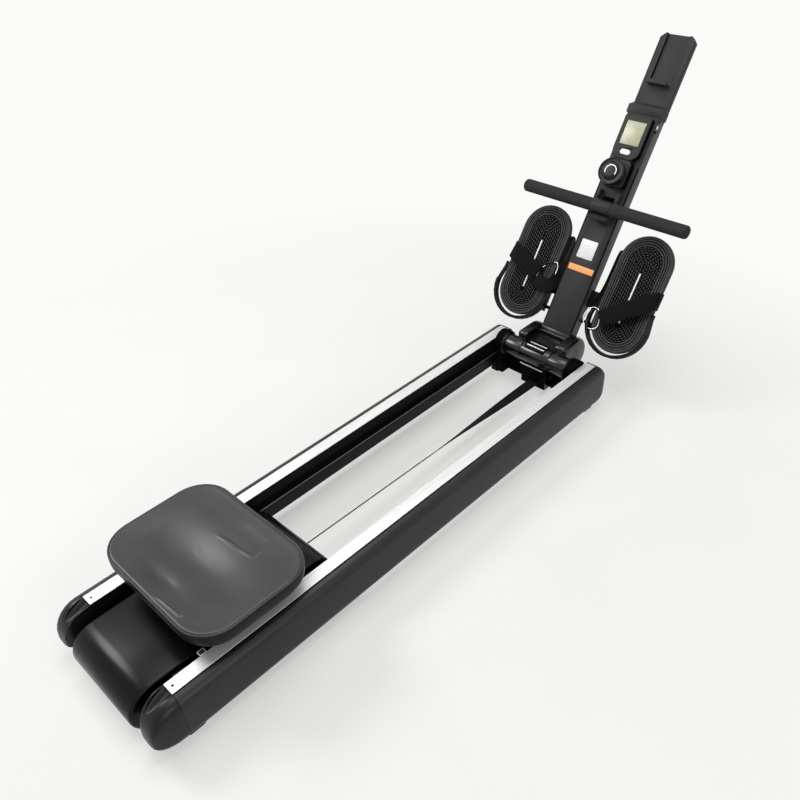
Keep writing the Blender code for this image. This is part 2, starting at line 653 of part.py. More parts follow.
def make_drive(machine, skins):
    low = FLYWHEEL_LOW
    high = low + FLYWHEEL_THICK
    bore = AXLE_RADIUS + BEARING_ROOM
    belt_high = BELT_LOW + BELT_WIDTH
    rim = FLYWHEEL_RADIUS - FLYWHEEL_RIM_WIDTH
    web_low = low + FLYWHEEL_WEB_DEPTH
    web_high = high - FLYWHEEL_WEB_DEPTH
    hub_top = belt_high + PULLEY_FLANGE
    flywheel = turned([(bore, low), (HUB_RADIUS, low), (HUB_RADIUS, web_low), (rim, web_low), (rim, low),
                       (FLYWHEEL_RADIUS, low), (FLYWHEEL_RADIUS, high), (rim, high), (rim, web_high),
                       (HUB_RADIUS, web_high), (HUB_RADIUS, BELT_LOW - PULLEY_FLANGE),
                       (DRIVEN_PULLEY_RADIUS, BELT_LOW), (DRIVEN_PULLEY_RADIUS, belt_high),
                       (HUB_RADIUS, hub_top), (bore, hub_top)],
                      (FLYWHEEL_X, 0, 0), "z", 40)
    add_object("flywheel", flywheel, skins["iron"], machine, (FLYWHEEL_X, 0, low))
    axle = turned([(0, TRAY_TOP), (2 * AXLE_RADIUS, TRAY_TOP), (2 * AXLE_RADIUS, low - GAP),
                   (AXLE_RADIUS, low - GAP), (AXLE_RADIUS, hub_top + 3 * MM), (0, hub_top + 3 * MM)],
                  (FLYWHEEL_X, 0, 0), "z", SMALL_STEPS)
    add_object("flywheel_axle", axle, skins["steel"], machine)

    roll_low = STRAP_HEIGHT - STRAP_WIDTH / 2 - DRUM_ROOM
    roll_high = STRAP_HEIGHT + STRAP_WIDTH / 2 + DRUM_ROOM
    flange_low = roll_low - DRUM_FLANGE_THICK
    flange_high = roll_high + DRUM_FLANGE_THICK
    drum = turned([(bore, BELT_LOW - PULLEY_FLANGE), (DRIVE_PULLEY_RADIUS, BELT_LOW - PULLEY_FLANGE),
                   (DRIVE_PULLEY_RADIUS, belt_high), (HUB_RADIUS, belt_high), (HUB_RADIUS, flange_low),
                   (DRUM_FLANGE_RADIUS, flange_low), (DRUM_FLANGE_RADIUS, roll_low),
                   (STRAP_ROLL_RADIUS, roll_low), (STRAP_ROLL_RADIUS, roll_high),
                   (DRUM_FLANGE_RADIUS, roll_high), (DRUM_FLANGE_RADIUS, flange_high),
                   (bore, flange_high)], (DRUM_X, DRUM_Y, 0), "z", 40)
    add_object("strap_drum", drum, skins["nylon"], machine, (DRUM_X, DRUM_Y, BELT_LOW))
    spring_low = flange_high + 2 * GAP
    axle_top = spring_low + SPRING_HEIGHT + 1 * MM
    axle = turned([(0, TRAY_TOP), (2 * AXLE_RADIUS, TRAY_TOP),
                   (2 * AXLE_RADIUS, BELT_LOW - PULLEY_FLANGE - GAP),
                   (AXLE_RADIUS, BELT_LOW - PULLEY_FLANGE - GAP), (AXLE_RADIUS, axle_top), (0, axle_top)],
                  (DRUM_X, DRUM_Y, 0), "z", SMALL_STEPS)
    add_object("drum_axle", axle, skins["steel"], machine)

    turns = SPRING_TURNS * 18
    rings = []
    for step in range(turns + 1):
        share = step / turns
        angle = 2 * pi * SPRING_TURNS * share
        radius = AXLE_RADIUS + GAP + SPRING_LEAF / 2 + (SPRING_OUTER - SPRING_INNER) * share
        outward = Vector((cos(angle), sin(angle), 0))
        centre = Vector((DRUM_X, DRUM_Y, spring_low + SPRING_HEIGHT / 2)) + outward * radius
        rings.append(band_ring(centre, Vector((0, 0, SPRING_HEIGHT / 2)), outward * SPRING_LEAF / 2))
    add_object("recoil_spring", lofted(rings), skins["spring"], machine)

    belt = prism(belt_outline(BELT_THICK + GAP), BELT_LOW + GAP, belt_high - GAP, "z")
    belt_object = add_object("drive_belt", belt, skins["rubber"], machine)
    cut(belt_object, prism(belt_outline(GAP), BELT_LOW - OVERSHOOT, belt_high + OVERSHOOT, "z"), machine)

    make_magnet_bracket(machine, skins)


def belt_outline(offset):
    """The loop around the two pulleys, at a distance outside their faces."""
    span = hypot(DRUM_X - FLYWHEEL_X, DRUM_Y)
    turn = atan2(DRUM_Y, DRUM_X - FLYWHEEL_X) * 180 / pi
    lean = asin((DRIVE_PULLEY_RADIUS - DRIVEN_PULLEY_RADIUS) / span) * 180 / pi
    small = arc(FLYWHEEL_X, 0, DRIVEN_PULLEY_RADIUS + offset, turn + BELT_LEAVES_SMALL + lean,
                turn + BELT_MEETS_SMALL - lean, 10)
    large = arc(DRUM_X, DRUM_Y, DRIVE_PULLEY_RADIUS + offset, turn - BELT_LEAVES_SMALL - lean,
                turn + BELT_LEAVES_SMALL + lean, 24)
    return small + large


def magnet_pivot():
    reach = FLYWHEEL_RADIUS + MAGNET_CLEARANCE + MAGNET_ARM_THICK / 2
    angle = radians(MAGNET_ARM_START)
    return Vector((FLYWHEEL_X + reach * cos(angle), reach * sin(angle), 0))


def make_magnet_bracket(machine, skins):
    inner = FLYWHEEL_RADIUS + MAGNET_CLEARANCE
    low = FLYWHEEL_LOW - 2 * MM
    high = FLYWHEEL_LOW + FLYWHEEL_THICK + 1 * MM
    pivot = magnet_pivot()
    outline = (arc(FLYWHEEL_X, 0, inner, MAGNET_ARM_START, MAGNET_ARM_END, 10)
               + arc(FLYWHEEL_X, 0, inner + MAGNET_ARM_THICK, MAGNET_ARM_END, MAGNET_ARM_START, 10))
    arm = add_object("magnet_bracket", prism(outline, low, high, "z"), skins["steel"], machine, pivot)
    fuse(arm, rod(pivot, MAGNET_ARM_THICK / 2 + 1 * MM, low, high + 4 * MM, "z"), machine)
    fuse(arm, rod(pivot, MAGNET_PIVOT_RADIUS, TRAY_TOP + GAP, low + 1 * MM, "z"), machine)


def make_seat(machine, skins):
    left = SEAT_X - SEAT_LENGTH / 2
    right = SEAT_X + SEAT_LENGTH / 2
    half = SEAT_WIDTH / 2
    pad_bottom = SEAT_TOP - SEAT_PAD_THICK
    rings = []
    for step in range(5):
        angle = radians(90 * step / 4)
        inset = SEAT_PAD_ROUND * (1 - cos(angle))
        height = SEAT_TOP - SEAT_PAD_ROUND * (1 - sin(angle))
        outline = rounded_outline(left + inset, right - inset, -half + inset, half - inset,
                                  SEAT_CORNER - inset, 8)
        rings.append([Vector((x, y, height)) for x, y in outline])
    outline = rounded_outline(left, right, -half, half, SEAT_CORNER, 8)
    rings.insert(0, [Vector((x, y, pad_bottom)) for x, y in outline])
    add_object("seat_pad", lofted(rings), skins["seat"], machine)

    inset = SEAT_BASE_INSET
    base_top = pad_bottom - GAP
    base_bottom = base_top - SEAT_BASE_THICK
    outline = rounded_outline(left + inset, right - inset, -half + inset, half - inset,
                              SEAT_CORNER - inset, 8)
    base = add_object("seat_base", prism(outline, base_bottom, base_top, "z"), skins["shell"], machine)
    soften(base, 4 * MM, 2, 60)

    plate_top = base_bottom - GAP
    leg = CARRIAGE_LEG_INNER
    outer = leg + CARRIAGE_PLATE
    section = [(-outer, CARRIAGE_LEG_BOTTOM), (-leg, CARRIAGE_LEG_BOTTOM),
               (-leg, plate_top - CARRIAGE_PLATE), (leg, plate_top - CARRIAGE_PLATE),
               (leg, CARRIAGE_LEG_BOTTOM), (outer, CARRIAGE_LEG_BOTTOM), (outer, plate_top),
               (-outer, plate_top)]
    carriage = add_object("seat_carriage",
                          prism(section, SEAT_X - CARRIAGE_LENGTH / 2, SEAT_X + CARRIAGE_LENGTH / 2, "x"),
                          skins["steel_black"], machine)
    for side in (1, -1):
        for word, x in (("rear", SEAT_X - WHEEL_BASE / 2), ("front", SEAT_X + WHEEL_BASE / 2)):
            far = side * (WHEEL_Y + WHEEL_WIDTH / 2)
            near = side * (leg + CARRIAGE_PLATE / 2)
            stub = rod((x, 0, WHEEL_Z), STUB_RADIUS, min(near, far), max(near, far), "y")
            fuse(carriage, stub, machine)
            wheel = ring_of(WHEEL_RADIUS, STUB_RADIUS + BEARING_ROOM, -WHEEL_WIDTH / 2, WHEEL_WIDTH / 2,
                            (x, side * WHEEL_Y, WHEEL_Z), "y", 24)
            add_object(mirrored_name(side, word + "_seat_wheel"), wheel, skins["nylon"], machine,
                       (x, side * WHEEL_Y, WHEEL_Z))


def make_front(machine, skins):
    reach = RAIL_INNER - GAP
    low_x = PIVOT_X + BRIDGE_REAR
    high_x = PIVOT_X + BRIDGE_FRONT
    bridge = add_object("front_bridge", box((low_x, -reach, BRIDGE_LOW), (high_x, reach, BRIDGE_HIGH)),
                        skins["steel_black"], machine)
    cheek = (arc(PIVOT_X, PIVOT_Z, CHEEK_RADIUS, CHEEK_ARC_START, CHEEK_ARC_END, 20)
             + [(PIVOT_X - CHEEK_FOOT_REAR, BRIDGE_LOW + 2 * MM),
                (PIVOT_X + CHEEK_FOOT_FRONT, BRIDGE_LOW + 2 * MM)])
    for side in (1, -1):
        ends = sorted((side * (reach - 1 * MM), side * (reach - CHEEK_THICK)))
        fuse(bridge, prism(cheek, ends[0], ends[1], "y"), machine)
        ends = sorted((side * (reach - CHEEK_THICK + 1 * MM), side * (BARREL_HALF + GAP)))
        fuse(bridge, rod((PIVOT_X, 0, PIVOT_Z), CHEEK_BOSS_RADIUS, ends[0], ends[1], "y", ROUND_STEPS),
             machine)
    notch = box((low_x - OVERSHOOT, -COVER_BOX_HALF - GAP, BRIDGE_LOW - OVERSHOOT),
                (PIVOT_X + COVER_BOX_FRONT + GAP, COVER_BOX_HALF + GAP, BRIDGE_HIGH + OVERSHOOT))
    cut(bridge, notch, machine)
    bore = rod(PIVOT, PIN_RADIUS + BEARING_ROOM, -2 * reach, 2 * reach, "y", 24)
    cut(bridge, bore, machine)

    pin = rod(PIVOT, PIN_RADIUS, -reach, reach, "y", 24)
    add_object("hinge_pin", pin, skins["steel"], machine, PIVOT)

    make_pulley_cover(machine, skins)


def cover_box_outline(inset):
    """The long section of the box under the centre barrel segment."""
    neck = PIVOT_X + COVER_BOX_NECK - inset
    return [(PIVOT_X + COVER_BOX_REAR + inset, COVER_BOX_LOW + inset),
            (PIVOT_X + COVER_BOX_FRONT - inset, COVER_BOX_LOW + inset),
            (PIVOT_X + COVER_BOX_FRONT - inset, COVER_BOX_HIGH - inset), (neck, COVER_BOX_HIGH - inset),
            (neck, PIVOT_Z - BARREL_RADIUS / 2 - inset),
            (PIVOT_X + COVER_BOX_REAR + inset, PIVOT_Z - BARREL_RADIUS / 2 - inset)]


def front_pulley_centre():
    return column_to_machine(STRAP_LINE - FRONT_PULLEY_RADIUS - GAP - STRAP_WEB / 2, -FRONT_PULLEY_BELOW)


def make_pulley_cover(machine, skins):
    half = CENTRE_SEGMENT_HALF
    cover = add_object("strap_pulley_cover",
                       rod(PIVOT, BARREL_RADIUS, -half, half, "y", ROUND_STEPS),
                       skins["cover"], machine)
    fuse(cover, prism(cover_box_outline(0), -COVER_BOX_HALF, COVER_BOX_HALF, "y"), machine)
    inner = COVER_BOX_HALF - COVER_BOX_WALL
    cut(cover, prism(cover_box_outline(COVER_BOX_WALL), -inner, inner, "y"), machine)
    cut(cover, rod(PIVOT, PIN_RADIUS + BEARING_ROOM, -2 * half, 2 * half, "y", 24), machine)
    barrel_room = inner - COVER_BOX_WALL
    cut(cover, rod(PIVOT, BARREL_RADIUS - COVER_BOX_WALL, -barrel_room, barrel_room, "y", ROUND_STEPS),
        machine)
    centre = front_pulley_centre()
    cut(cover, rod(centre, ROLLER_PIN_RADIUS * 2 + BEARING_ROOM, -2 * half, 2 * half, "y"), machine)
    slot = STRAP_WIDTH / 2 + STRAP_SIDE_ROOM
    strap_z = centre.z - FRONT_PULLEY_RADIUS
    cut(cover, box((PIVOT_X + COVER_BOX_REAR - OVERSHOOT, -slot, strap_z - 6 * MM),
                   (PIVOT_X + COVER_BOX_REAR + 2 * COVER_BOX_WALL, slot, strap_z + 6 * MM)), machine)
    cut(cover, box((PIVOT_X + COVER_BOX_NECK, -slot, COVER_BOX_HIGH - 2 * COVER_BOX_WALL),
                   (PIVOT_X + COVER_BOX_FRONT - 4 * MM, slot, COVER_BOX_HIGH + OVERSHOOT)), machine)

    width = FRONT_PULLEY_WIDTH / 2
    pin = COVER_BOX_HALF - GAP
    pulley = turned([(0, -pin), (2 * ROLLER_PIN_RADIUS, -pin), (2 * ROLLER_PIN_RADIUS, -width),
                     (FRONT_PULLEY_RADIUS, -width), (FRONT_PULLEY_RADIUS, width),
                     (2 * ROLLER_PIN_RADIUS, width), (2 * ROLLER_PIN_RADIUS, pin), (0, pin)],
                    centre, "y", ROUND_STEPS)
    add_object("front_pulley", pulley, skins["nylon"], machine, centre)


def strap_run():
    """Where the strap leaves the drum and where it meets the front pulley."""
    centre = front_pulley_centre()
    start = Vector((DRUM_X, DRUM_Y - STRAP_ROLL_RADIUS - GAP - STRAP_WEB / 2, STRAP_HEIGHT))
    end = Vector((centre.x, 0, centre.z - FRONT_PULLEY_RADIUS - GAP - STRAP_WEB / 2))
    return start, end


def make_lower_strap(machine, skins):
    """From the drum, turning a quarter on its way, round the front pulley and up to the fold."""
    centre = front_pulley_centre()
    middle = FRONT_PULLEY_RADIUS + GAP + STRAP_WEB / 2
    start, end = strap_run()
    half = STRAP_WIDTH / 2
    thick = STRAP_WEB / 2
    rings = []
    for step in range(RUN_STEPS):
        share = step / RUN_STEPS
        angle = pi / 2 * min(share / TWIST_DONE, 1)
        across = Vector((0, -sin(angle), cos(angle)))
        through = Vector((0, cos(angle), sin(angle)))
        rings.append(band_ring(start.lerp(end, share), across * half, through * thick))
    for step in range(ARC_STEPS + 1):
        angle = radians(-90 + (90 - COLUMN_TILT) * step / ARC_STEPS)
        outward = Vector((cos(angle), 0, sin(angle)))
        rings.append(band_ring(centre + outward * middle, Vector((0, half, 0)), outward * thick))
    outward = Vector((cos(TILT), 0, -sin(TILT)))
    top = column_to_machine(STRAP_LINE, STRAP_SPLIT - GAP)
    rings.append(band_ring(top, Vector((0, half, 0)), outward * thick))
    add_object("lower_pull_strap", lofted(rings), skins["webbing"], machine)


def make_column_foot(column, machine, skins):
    # Two round-fronted arms stand beside the column's lower end; the valley between them is lower.
    reach = PIVOT_X + ARM_CENTRE
    arms = (arc(reach, PIVOT_Z, ARM_RADIUS, ARM_ARC_START, 90, 16)
            + [(PIVOT_X + ARM_REAR, PIVOT_Z + ARM_RADIUS),
               (PIVOT_X + ARM_REAR, PIVOT_Z - BARREL_RADIUS / 2)])
    foot = add_object("column_foot", place_in(prism(arms, -ARM_HALF, ARM_HALF, "y"), column),
                      skins["cover"], column)
    soften(foot, ARM_EDGE, 3, 70)
    fuse(foot, rod((0, 0, 0), BARREL_RADIUS, -BARREL_HALF, BARREL_HALF, "y", ROUND_STEPS), column)
    seat_half = COLUMN_WIDTH / 2 + 1.5 * MM
    far = PIVOT_X + 3 * ARM_RADIUS
    high = PIVOT_Z + 3 * ARM_RADIUS
    cut(foot, box((PIVOT_X - BARREL_RADIUS - OVERSHOOT, -seat_half, PIVOT_Z + VALLEY_HEIGHT),
                  (PIVOT_X + ARM_CENTRE, seat_half, high)), machine)
    cut(foot, box((0, -seat_half, COLUMN_BASE - GAP),
                  (3 * ARM_RADIUS, seat_half, 3 * ARM_RADIUS)), column)
    half = CENTRE_SEGMENT_HALF + YOKE_ROOM
    cut(foot, rod(PIVOT, BARREL_RADIUS + YOKE_ROOM, -half, half, "y", ROUND_STEPS), machine)
    cut(foot, box((PIVOT_X - BARREL_RADIUS - OVERSHOOT, -half, PIVOT_Z - 3 * ARM_RADIUS),
                  (PIVOT_X + COVER_BOX_NECK + 2 * YOKE_ROOM, half, PIVOT_Z - BARREL_RADIUS / 3)), machine)
    under = PIVOT_Z - ARM_RADIUS + ARM_UNDERCUT
    cut(foot, box((PIVOT_X - BARREL_RADIUS - OVERSHOOT, -half, PIVOT_Z - 3 * ARM_RADIUS),
                  (far, half, under)), machine)
    bore = rod((0, 0, 0), PIN_RADIUS + BEARING_ROOM, -2 * BARREL_HALF, 2 * BARREL_HALF, "y", 24)
    cut(foot, bore, column)
    slot = STRAP_WIDTH / 2 + STRAP_SIDE_ROOM
    cut(foot, box((STRAP_LINE - STRAP_CHANNEL_DEPTH, -slot, -3 * ARM_RADIUS),
                  (STRAP_LINE + STRAP_CHANNEL_DEPTH, slot, 3 * ARM_RADIUS)), column)


def pad_back(z):
    """How far the back of the tilted foot pads lies behind the fold axis at a height."""
    return PEDAL_BACK + (PAD_THICK + (z - PEDAL_UP) * sin(radians(PEDAL_LEAN))) / cos(radians(PEDAL_LEAN))


def make_column(column, skins):
    half = COLUMN_WIDTH / 2
    wall = COLUMN_WALL
    front = COLUMN_FRONT + FRONT_COVER_THICK + GAP
    section = [(front, -half), (COLUMN_BACK, -half), (COLUMN_BACK, half), (front, half),
               (front, half - wall), (COLUMN_BACK - wall, half - wall), (COLUMN_BACK - wall, wall - half),
               (front, wall - half)]
    channel = add_object("column_channel", prism(section, COLUMN_BASE, COLUMN_TOP - GAP, "z"),
                         skins["column"], column)
    rod_x = COLUMN_BACK - COLUMN_WALL - GAP - LOWER_ROD_RADIUS
    cut(channel, rod((rod_x, 0, LOWER_ROD_AT), LOWER_ROD_RADIUS + BEARING_ROOM, -2 * half, 2 * half, "y"),
        column)
    bracket_back = COLUMN_BACK - COLUMN_WALL - GAP
    cut(channel, box((bracket_back - BRACKET_THICK - GAP, -2 * half, BRACKET_LOW - GAP),
                     (bracket_back + GAP, 2 * half, BRACKET_HIGH + GAP)), column)

    cover = add_object("column_cover",
                       box((COLUMN_FRONT, -half, FRONT_COVER_START),
                           (COLUMN_FRONT + FRONT_COVER_THICK, half, COLUMN_TOP - GAP)),
                       skins["column"], column)
    slot = ROLLER_WIDTH / 2 + EAR_THICK + 2 * GAP
    cut(cover, box((COLUMN_FRONT - OVERSHOOT, -slot, EXIT_SLOT_LOW),
                   (COLUMN_FRONT + OVERSHOOT, slot, EXIT_SLOT_HIGH)), column)

    make_phone_rest(column, skins)
    make_upper_strap(column, skins)


def make_phone_rest(column, skins):
    half = REST_WIDTH / 2
    face = COLUMN_BACK - REST_THICK
    collar_top = COLUMN_TOP + REST_COLLAR_HEIGHT
    outline = [(-half, COLUMN_TOP), (half, COLUMN_TOP), (half, REST_TOP - REST_CORNER),
               (half - REST_CORNER, REST_TOP), (REST_CORNER - half, REST_TOP),
               (-half, REST_TOP - REST_CORNER)]
    rest = add_object("phone_rest", prism(outline, face, COLUMN_BACK, "x"), skins["cover"], column)
    collar = REST_COLLAR_WIDTH / 2
    fuse(rest, box((COLUMN_FRONT, -collar, COLUMN_TOP), (COLUMN_BACK, collar, collar_top)), column)
    slope = [(face + 1 * MM, collar_top - 1 * MM), (COLUMN_FRONT, collar_top - 1 * MM),
             (COLUMN_FRONT, collar_top), (face, collar_top + REST_SLOPE_HEIGHT),
             (face + 1 * MM, collar_top + REST_SLOPE_HEIGHT)]
    fuse(rest, prism(slope, -half, half, "y"), column)
    floor = face + RECESS_DEPTH
    recess = [(face - OVERSHOOT, RECESS_LEFT), (floor, RECESS_LEFT), (floor, -RECESS_RIGHT),
              (face, -RECESS_RIGHT - RECESS_RAMP), (face - OVERSHOOT, -RECESS_RIGHT - RECESS_RAMP)]
    cut(rest, prism(recess, RECESS_START, REST_TOP + OVERSHOOT, "z"), column)
    lip = REST_LEDGE_THICK
    ledge_low = RECESS_START - 2 * lip
    ledge = [(face + 1 * MM, ledge_low), (face + 1 * MM, ledge_low + lip),
             (face - LEDGE_OUT + lip, ledge_low + lip),
             (face - LEDGE_OUT + lip, ledge_low + lip + REST_LEDGE_LIP),
             (face - LEDGE_OUT, ledge_low + lip + REST_LEDGE_LIP), (face - LEDGE_OUT, ledge_low)]
    fuse(rest, prism(ledge, -LEDGE_WIDTH / 2, LEDGE_WIDTH / 2, "y"), column)


def roller_centre():
    """The strap leaves the roller on the line of the pull through the handlebar's middle."""
    pull = pull_direction()
    upper = Vector((pull.z, 0, -pull.x))
    reach = ROLLER_RADIUS + GAP + STRAP_WEB / 2
    bar = Vector((BAR_OUT, 0, BAR_AT))
    x = STRAP_LINE - reach
    along = (x + upper.x * reach - bar.x) / -pull.x
    leave = bar - pull * along
    return leave - upper * reach, upper


def pull_direction():
    """The way the handle is pulled, in the column frame: back and a little up."""
    rise = radians(PULL_RISE)
    return Vector((-cos(rise) * cos(TILT) - sin(rise) * sin(TILT), 0,
                   -cos(rise) * sin(TILT) + sin(rise) * cos(TILT)))


def make_upper_strap(column, skins):
    half = Vector((0, STRAP_WIDTH / 2, 0))
    thick = STRAP_WEB / 2
    centre, upper = roller_centre()
    reach = ROLLER_RADIUS + GAP + thick
    rings = [band_ring(Vector((STRAP_LINE, 0, STRAP_SPLIT + GAP)), half, Vector((thick, 0, 0)))]
    end_angle = atan2(upper.z, upper.x)
    for step in range(ARC_STEPS + 1):
        angle = end_angle * step / ARC_STEPS
        outward = Vector((cos(angle), 0, sin(angle)))
        rings.append(band_ring(centre + outward * reach, half, outward * thick))
    pull = pull_direction()
    bar = Vector((BAR_OUT, 0, BAR_AT))
    end = bar - pull * (COLLAR_RADIUS + 2 * GAP)
    rings.append(band_ring(end, half, upper * thick))
    add_object("upper_pull_strap", lofted(rings), skins["webbing"], column)

    width = ROLLER_WIDTH / 2
    pin = width + GAP + EAR_THICK
    roller = turned([(0, -pin), (ROLLER_PIN_RADIUS, -pin), (ROLLER_PIN_RADIUS, -width),
                     (ROLLER_RADIUS, -width), (ROLLER_RADIUS, width), (ROLLER_PIN_RADIUS, width),
                     (ROLLER_PIN_RADIUS, pin), (0, pin)], centre, "y", 24)
    add_object("strap_roller", roller, skins["nylon"], column, centre)


def make_console(column, skins):
    back = COLUMN_FRONT - GAP
    face = COLUMN_FRONT - CONSOLE_THICK
    half = CONSOLE_WIDTH / 2
    low = CONSOLE_CORNER
    top = CONSOLE_TOP_CORNER
    outline = (arc(half - low, CONSOLE_LOW + low, low, -90, 0)
               + arc(half - top, CONSOLE_HIGH - top, top, 0, 90, 3)
               + arc(top - half, CONSOLE_HIGH - top, top, 90, 180, 3)
               + arc(low - half, CONSOLE_LOW + low, low, 180, 270))
    console = add_object("console_housing", prism(outline, face, back, "x"), skins["cover"], column)
    soften(console, 2.5 * MM, 2, 60)
    wide = SCREEN_WIDTH / 2
    depth = SCREEN_RECESS + SCREEN_THICK + GAP
    cut(console, box((face - OVERSHOOT, -wide - GAP, SCREEN_LOW - GAP),
                     (face + depth, wide + GAP, SCREEN_HIGH + GAP)), column)
    screen = box((face + SCREEN_RECESS, -wide, SCREEN_LOW), (face + depth - GAP, wide, SCREEN_HIGH))
    add_object("display_screen", screen, skins["screen"], column)

    tall = BUTTON_HEIGHT / 2
    long = BUTTON_LENGTH / 2
    hole = rounded_outline(-long - GAP, long + GAP, BUTTON_AT - tall - GAP, BUTTON_AT + tall + GAP,
                           tall, 5)
    pocket = face + BUTTON_THICK + BUTTON_TRAVEL + GAP - BUTTON_PROUD
    cut(console, prism(hole, face - OVERSHOOT, pocket, "x"), column)
    shape = rounded_outline(-long, long, BUTTON_AT - tall, BUTTON_AT + tall, tall - 0.1 * MM, 5)
    origin = (face, 0, BUTTON_AT)
    button = prism(shape, face - BUTTON_PROUD, face - BUTTON_PROUD + BUTTON_THICK, "x")
    add_object("console_button", button, skins["button"], column, origin)


def make_knob(column, skins):
    back = COLUMN_FRONT - GAP
    face = COLUMN_FRONT - KNOB_BASE_THICK
    half = KNOB_BASE_WIDTH / 2
    outline = rounded_outline(-half, half, KNOB_BASE_LOW, KNOB_BASE_HIGH - 2 * MM, KNOB_BASE_CORNER, 4)
    base = add_object("knob_base", prism(outline, face, back, "x"), skins["cover"], column)
    soften(base, 2 * MM, 2, 60)
    centre = (0, 0, KNOB_AT)
    shaft_end = face + KNOB_BASE_THICK / 2
    cut(base, rod(centre, KNOB_SHAFT + BEARING_ROOM, face - OVERSHOOT, shaft_end + GAP, "x"), column)

    outline = []
    flutes = KNOB_FLUTES * 4
    for step in range(flutes):
        angle = 2 * pi * step / flutes
        radius = KNOB_RADIUS - KNOB_FLUTE_DEPTH * (0.5 - 0.5 * cos(KNOB_FLUTES * angle))
        outline.append((radius * cos(angle), KNOB_AT + radius * sin(angle)))
    knob_back = face - GAP
    knob_front = knob_back - KNOB_THICK
    inner, rim, dish = [[(y * share, KNOB_AT + (z - KNOB_AT) * share) for y, z in outline]
                        for share in KNOB_FACE_SHARES]
    layers = [(outline, knob_back), (outline, knob_front + 2 * MM), (inner, knob_front),
              (rim, knob_front), (dish, knob_front + KNOB_DISH)]
    rings = [[Vector((x, y, z)) for y, z in layer] for layer, x in layers]
    knob = add_object("tension_knob", lofted(rings), skins["cover"], column, (knob_back, 0, KNOB_AT))
    fuse(knob, rod(centre, KNOB_SHAFT, knob_back - 1 * MM, shaft_end, "x"), column)


def make_cradle(column, skins):
    back = COLUMN_FRONT - GAP
    face = back - CRADLE_PLATE
    half = CRADLE_WIDTH / 2
    outline = rounded_outline(-half, half, CRADLE_LOW, CRADLE_HIGH, 4 * MM, 3)
    cradle = add_object("handle_cradle", prism(outline, face, back, "x"), skins["cover"], column)
    up = Vector((-sin(TILT), 0, cos(TILT)))
    back_way = Vector((-cos(TILT), 0, -sin(TILT)))
    bar = Vector((BAR_OUT, 0, BAR_AT))
    under = bar - up * (COLLAR_RADIUS + GAP)
    start = under - back_way * ((face + CRADLE_PLATE / 2 - under.x) / cos(TILT))
    end = start + back_way * (SHELF_REACH + CRADLE_PLATE)
    low_start = start - up * SHELF_THICK + back_way * SHELF_THICK * sin(TILT) / cos(TILT)
    low_end = end - up * SHELF_THICK
    shelf = [(point.x, point.z) for point in (start, end, low_end, low_start)]
    fuse(cradle, prism(shelf, -SHELF_HALF, SHELF_HALF, "y"), column)
    for side in (1, -1):
        ends = sorted((side * half, side * (half - POST_WIDTH)))
        fuse(cradle, box((face - POST_REACH, ends[0] + GAP, POST_LOW),
                         (back - CRADLE_PLATE / 2, ends[1] - GAP, POST_HIGH)), column)
    slot = ROLLER_WIDTH / 2 + 2 * GAP
    cut(cradle, box((face - OVERSHOOT, -slot, EXIT_SLOT_LOW), (back + OVERSHOOT, slot, EXIT_SLOT_HIGH)),
        column)
    centre = roller_centre()[0]
    for side in (1, -1):
        ends = sorted((side * (slot - GAP), side * (slot - GAP + EAR_THICK)))
        ear = rounded_outline(face + CRADLE_PLATE / 2, back + EAR_REACH, centre.z - 7 * MM,
                              centre.z + 7 * MM, 3 * MM, 2)
        fuse(cradle, prism(ear, ends[0], ends[1], "y"), column)
    cut(cradle, rod(centre, ROLLER_PIN_RADIUS + BEARING_ROOM, -half, half, "y"), column)


def make_handle(column, skins):
    bar = (BAR_OUT, 0, BAR_AT)
    tube_half = BAR_HALF - GRIP_END_WALL
    tube = ring_of(BAR_TUBE_RADIUS, BAR_TUBE_RADIUS - BAR_TUBE_WALL, -tube_half, tube_half, bar, "y", 20)
    add_object("handlebar_tube", tube, skins["steel_black"], column, bar)
    bore = BAR_TUBE_RADIUS + GAP
    edge = GRIP_END_ROUND
    for side in (1, -1):
        profile = [(bore, COLLAR_HALF + GAP), (GRIP_RADIUS, COLLAR_HALF + GAP)]
        profile += arc(GRIP_RADIUS - edge, BAR_HALF - edge, edge, 0, 90, 4)
        profile = [(radius, side * height) for radius, height in profile]
        profile += [(0, side * BAR_HALF), (0, side * (tube_half + GAP)), (bore, side * (tube_half + GAP))]
        grip = turned_cup(profile, bar)
        add_object(mirrored_name(side, "grip"), grip, skins["foam"], column, bar)
    collar = ring_of(COLLAR_RADIUS, bore, -COLLAR_HALF, COLLAR_HALF, bar, "y", 28)
    collar_object = add_object("handle_collar", collar, skins["cover"], column, bar)
    soften(collar_object, 1 * MM, 2, 60)


def turned_cup(profile, centre):
    """A turned body whose section touches the axis along one side, so it is closed at one end."""
    bm = bmesh.new()
    centre = Vector(centre)
    verts = [bm.verts.new(centre + Vector((radius, height, 0))) for radius, height in profile]
    edges = []
    for index, near in enumerate(verts):
        after = (index + 1) % len(verts)
        both_on_axis = profile[index][0] == 0 and profile[after][0] == 0
        if not both_on_axis:
            edges.append(bm.edges.new((near, verts[after])))
    bmesh.ops.spin(bm, geom=verts + edges, cent=centre, axis=(0, 1, 0), angle=2 * pi, steps=24)
    bmesh.ops.remove_doubles(bm, verts=bm.verts[:], dist=0.001 * MM)
    return bm


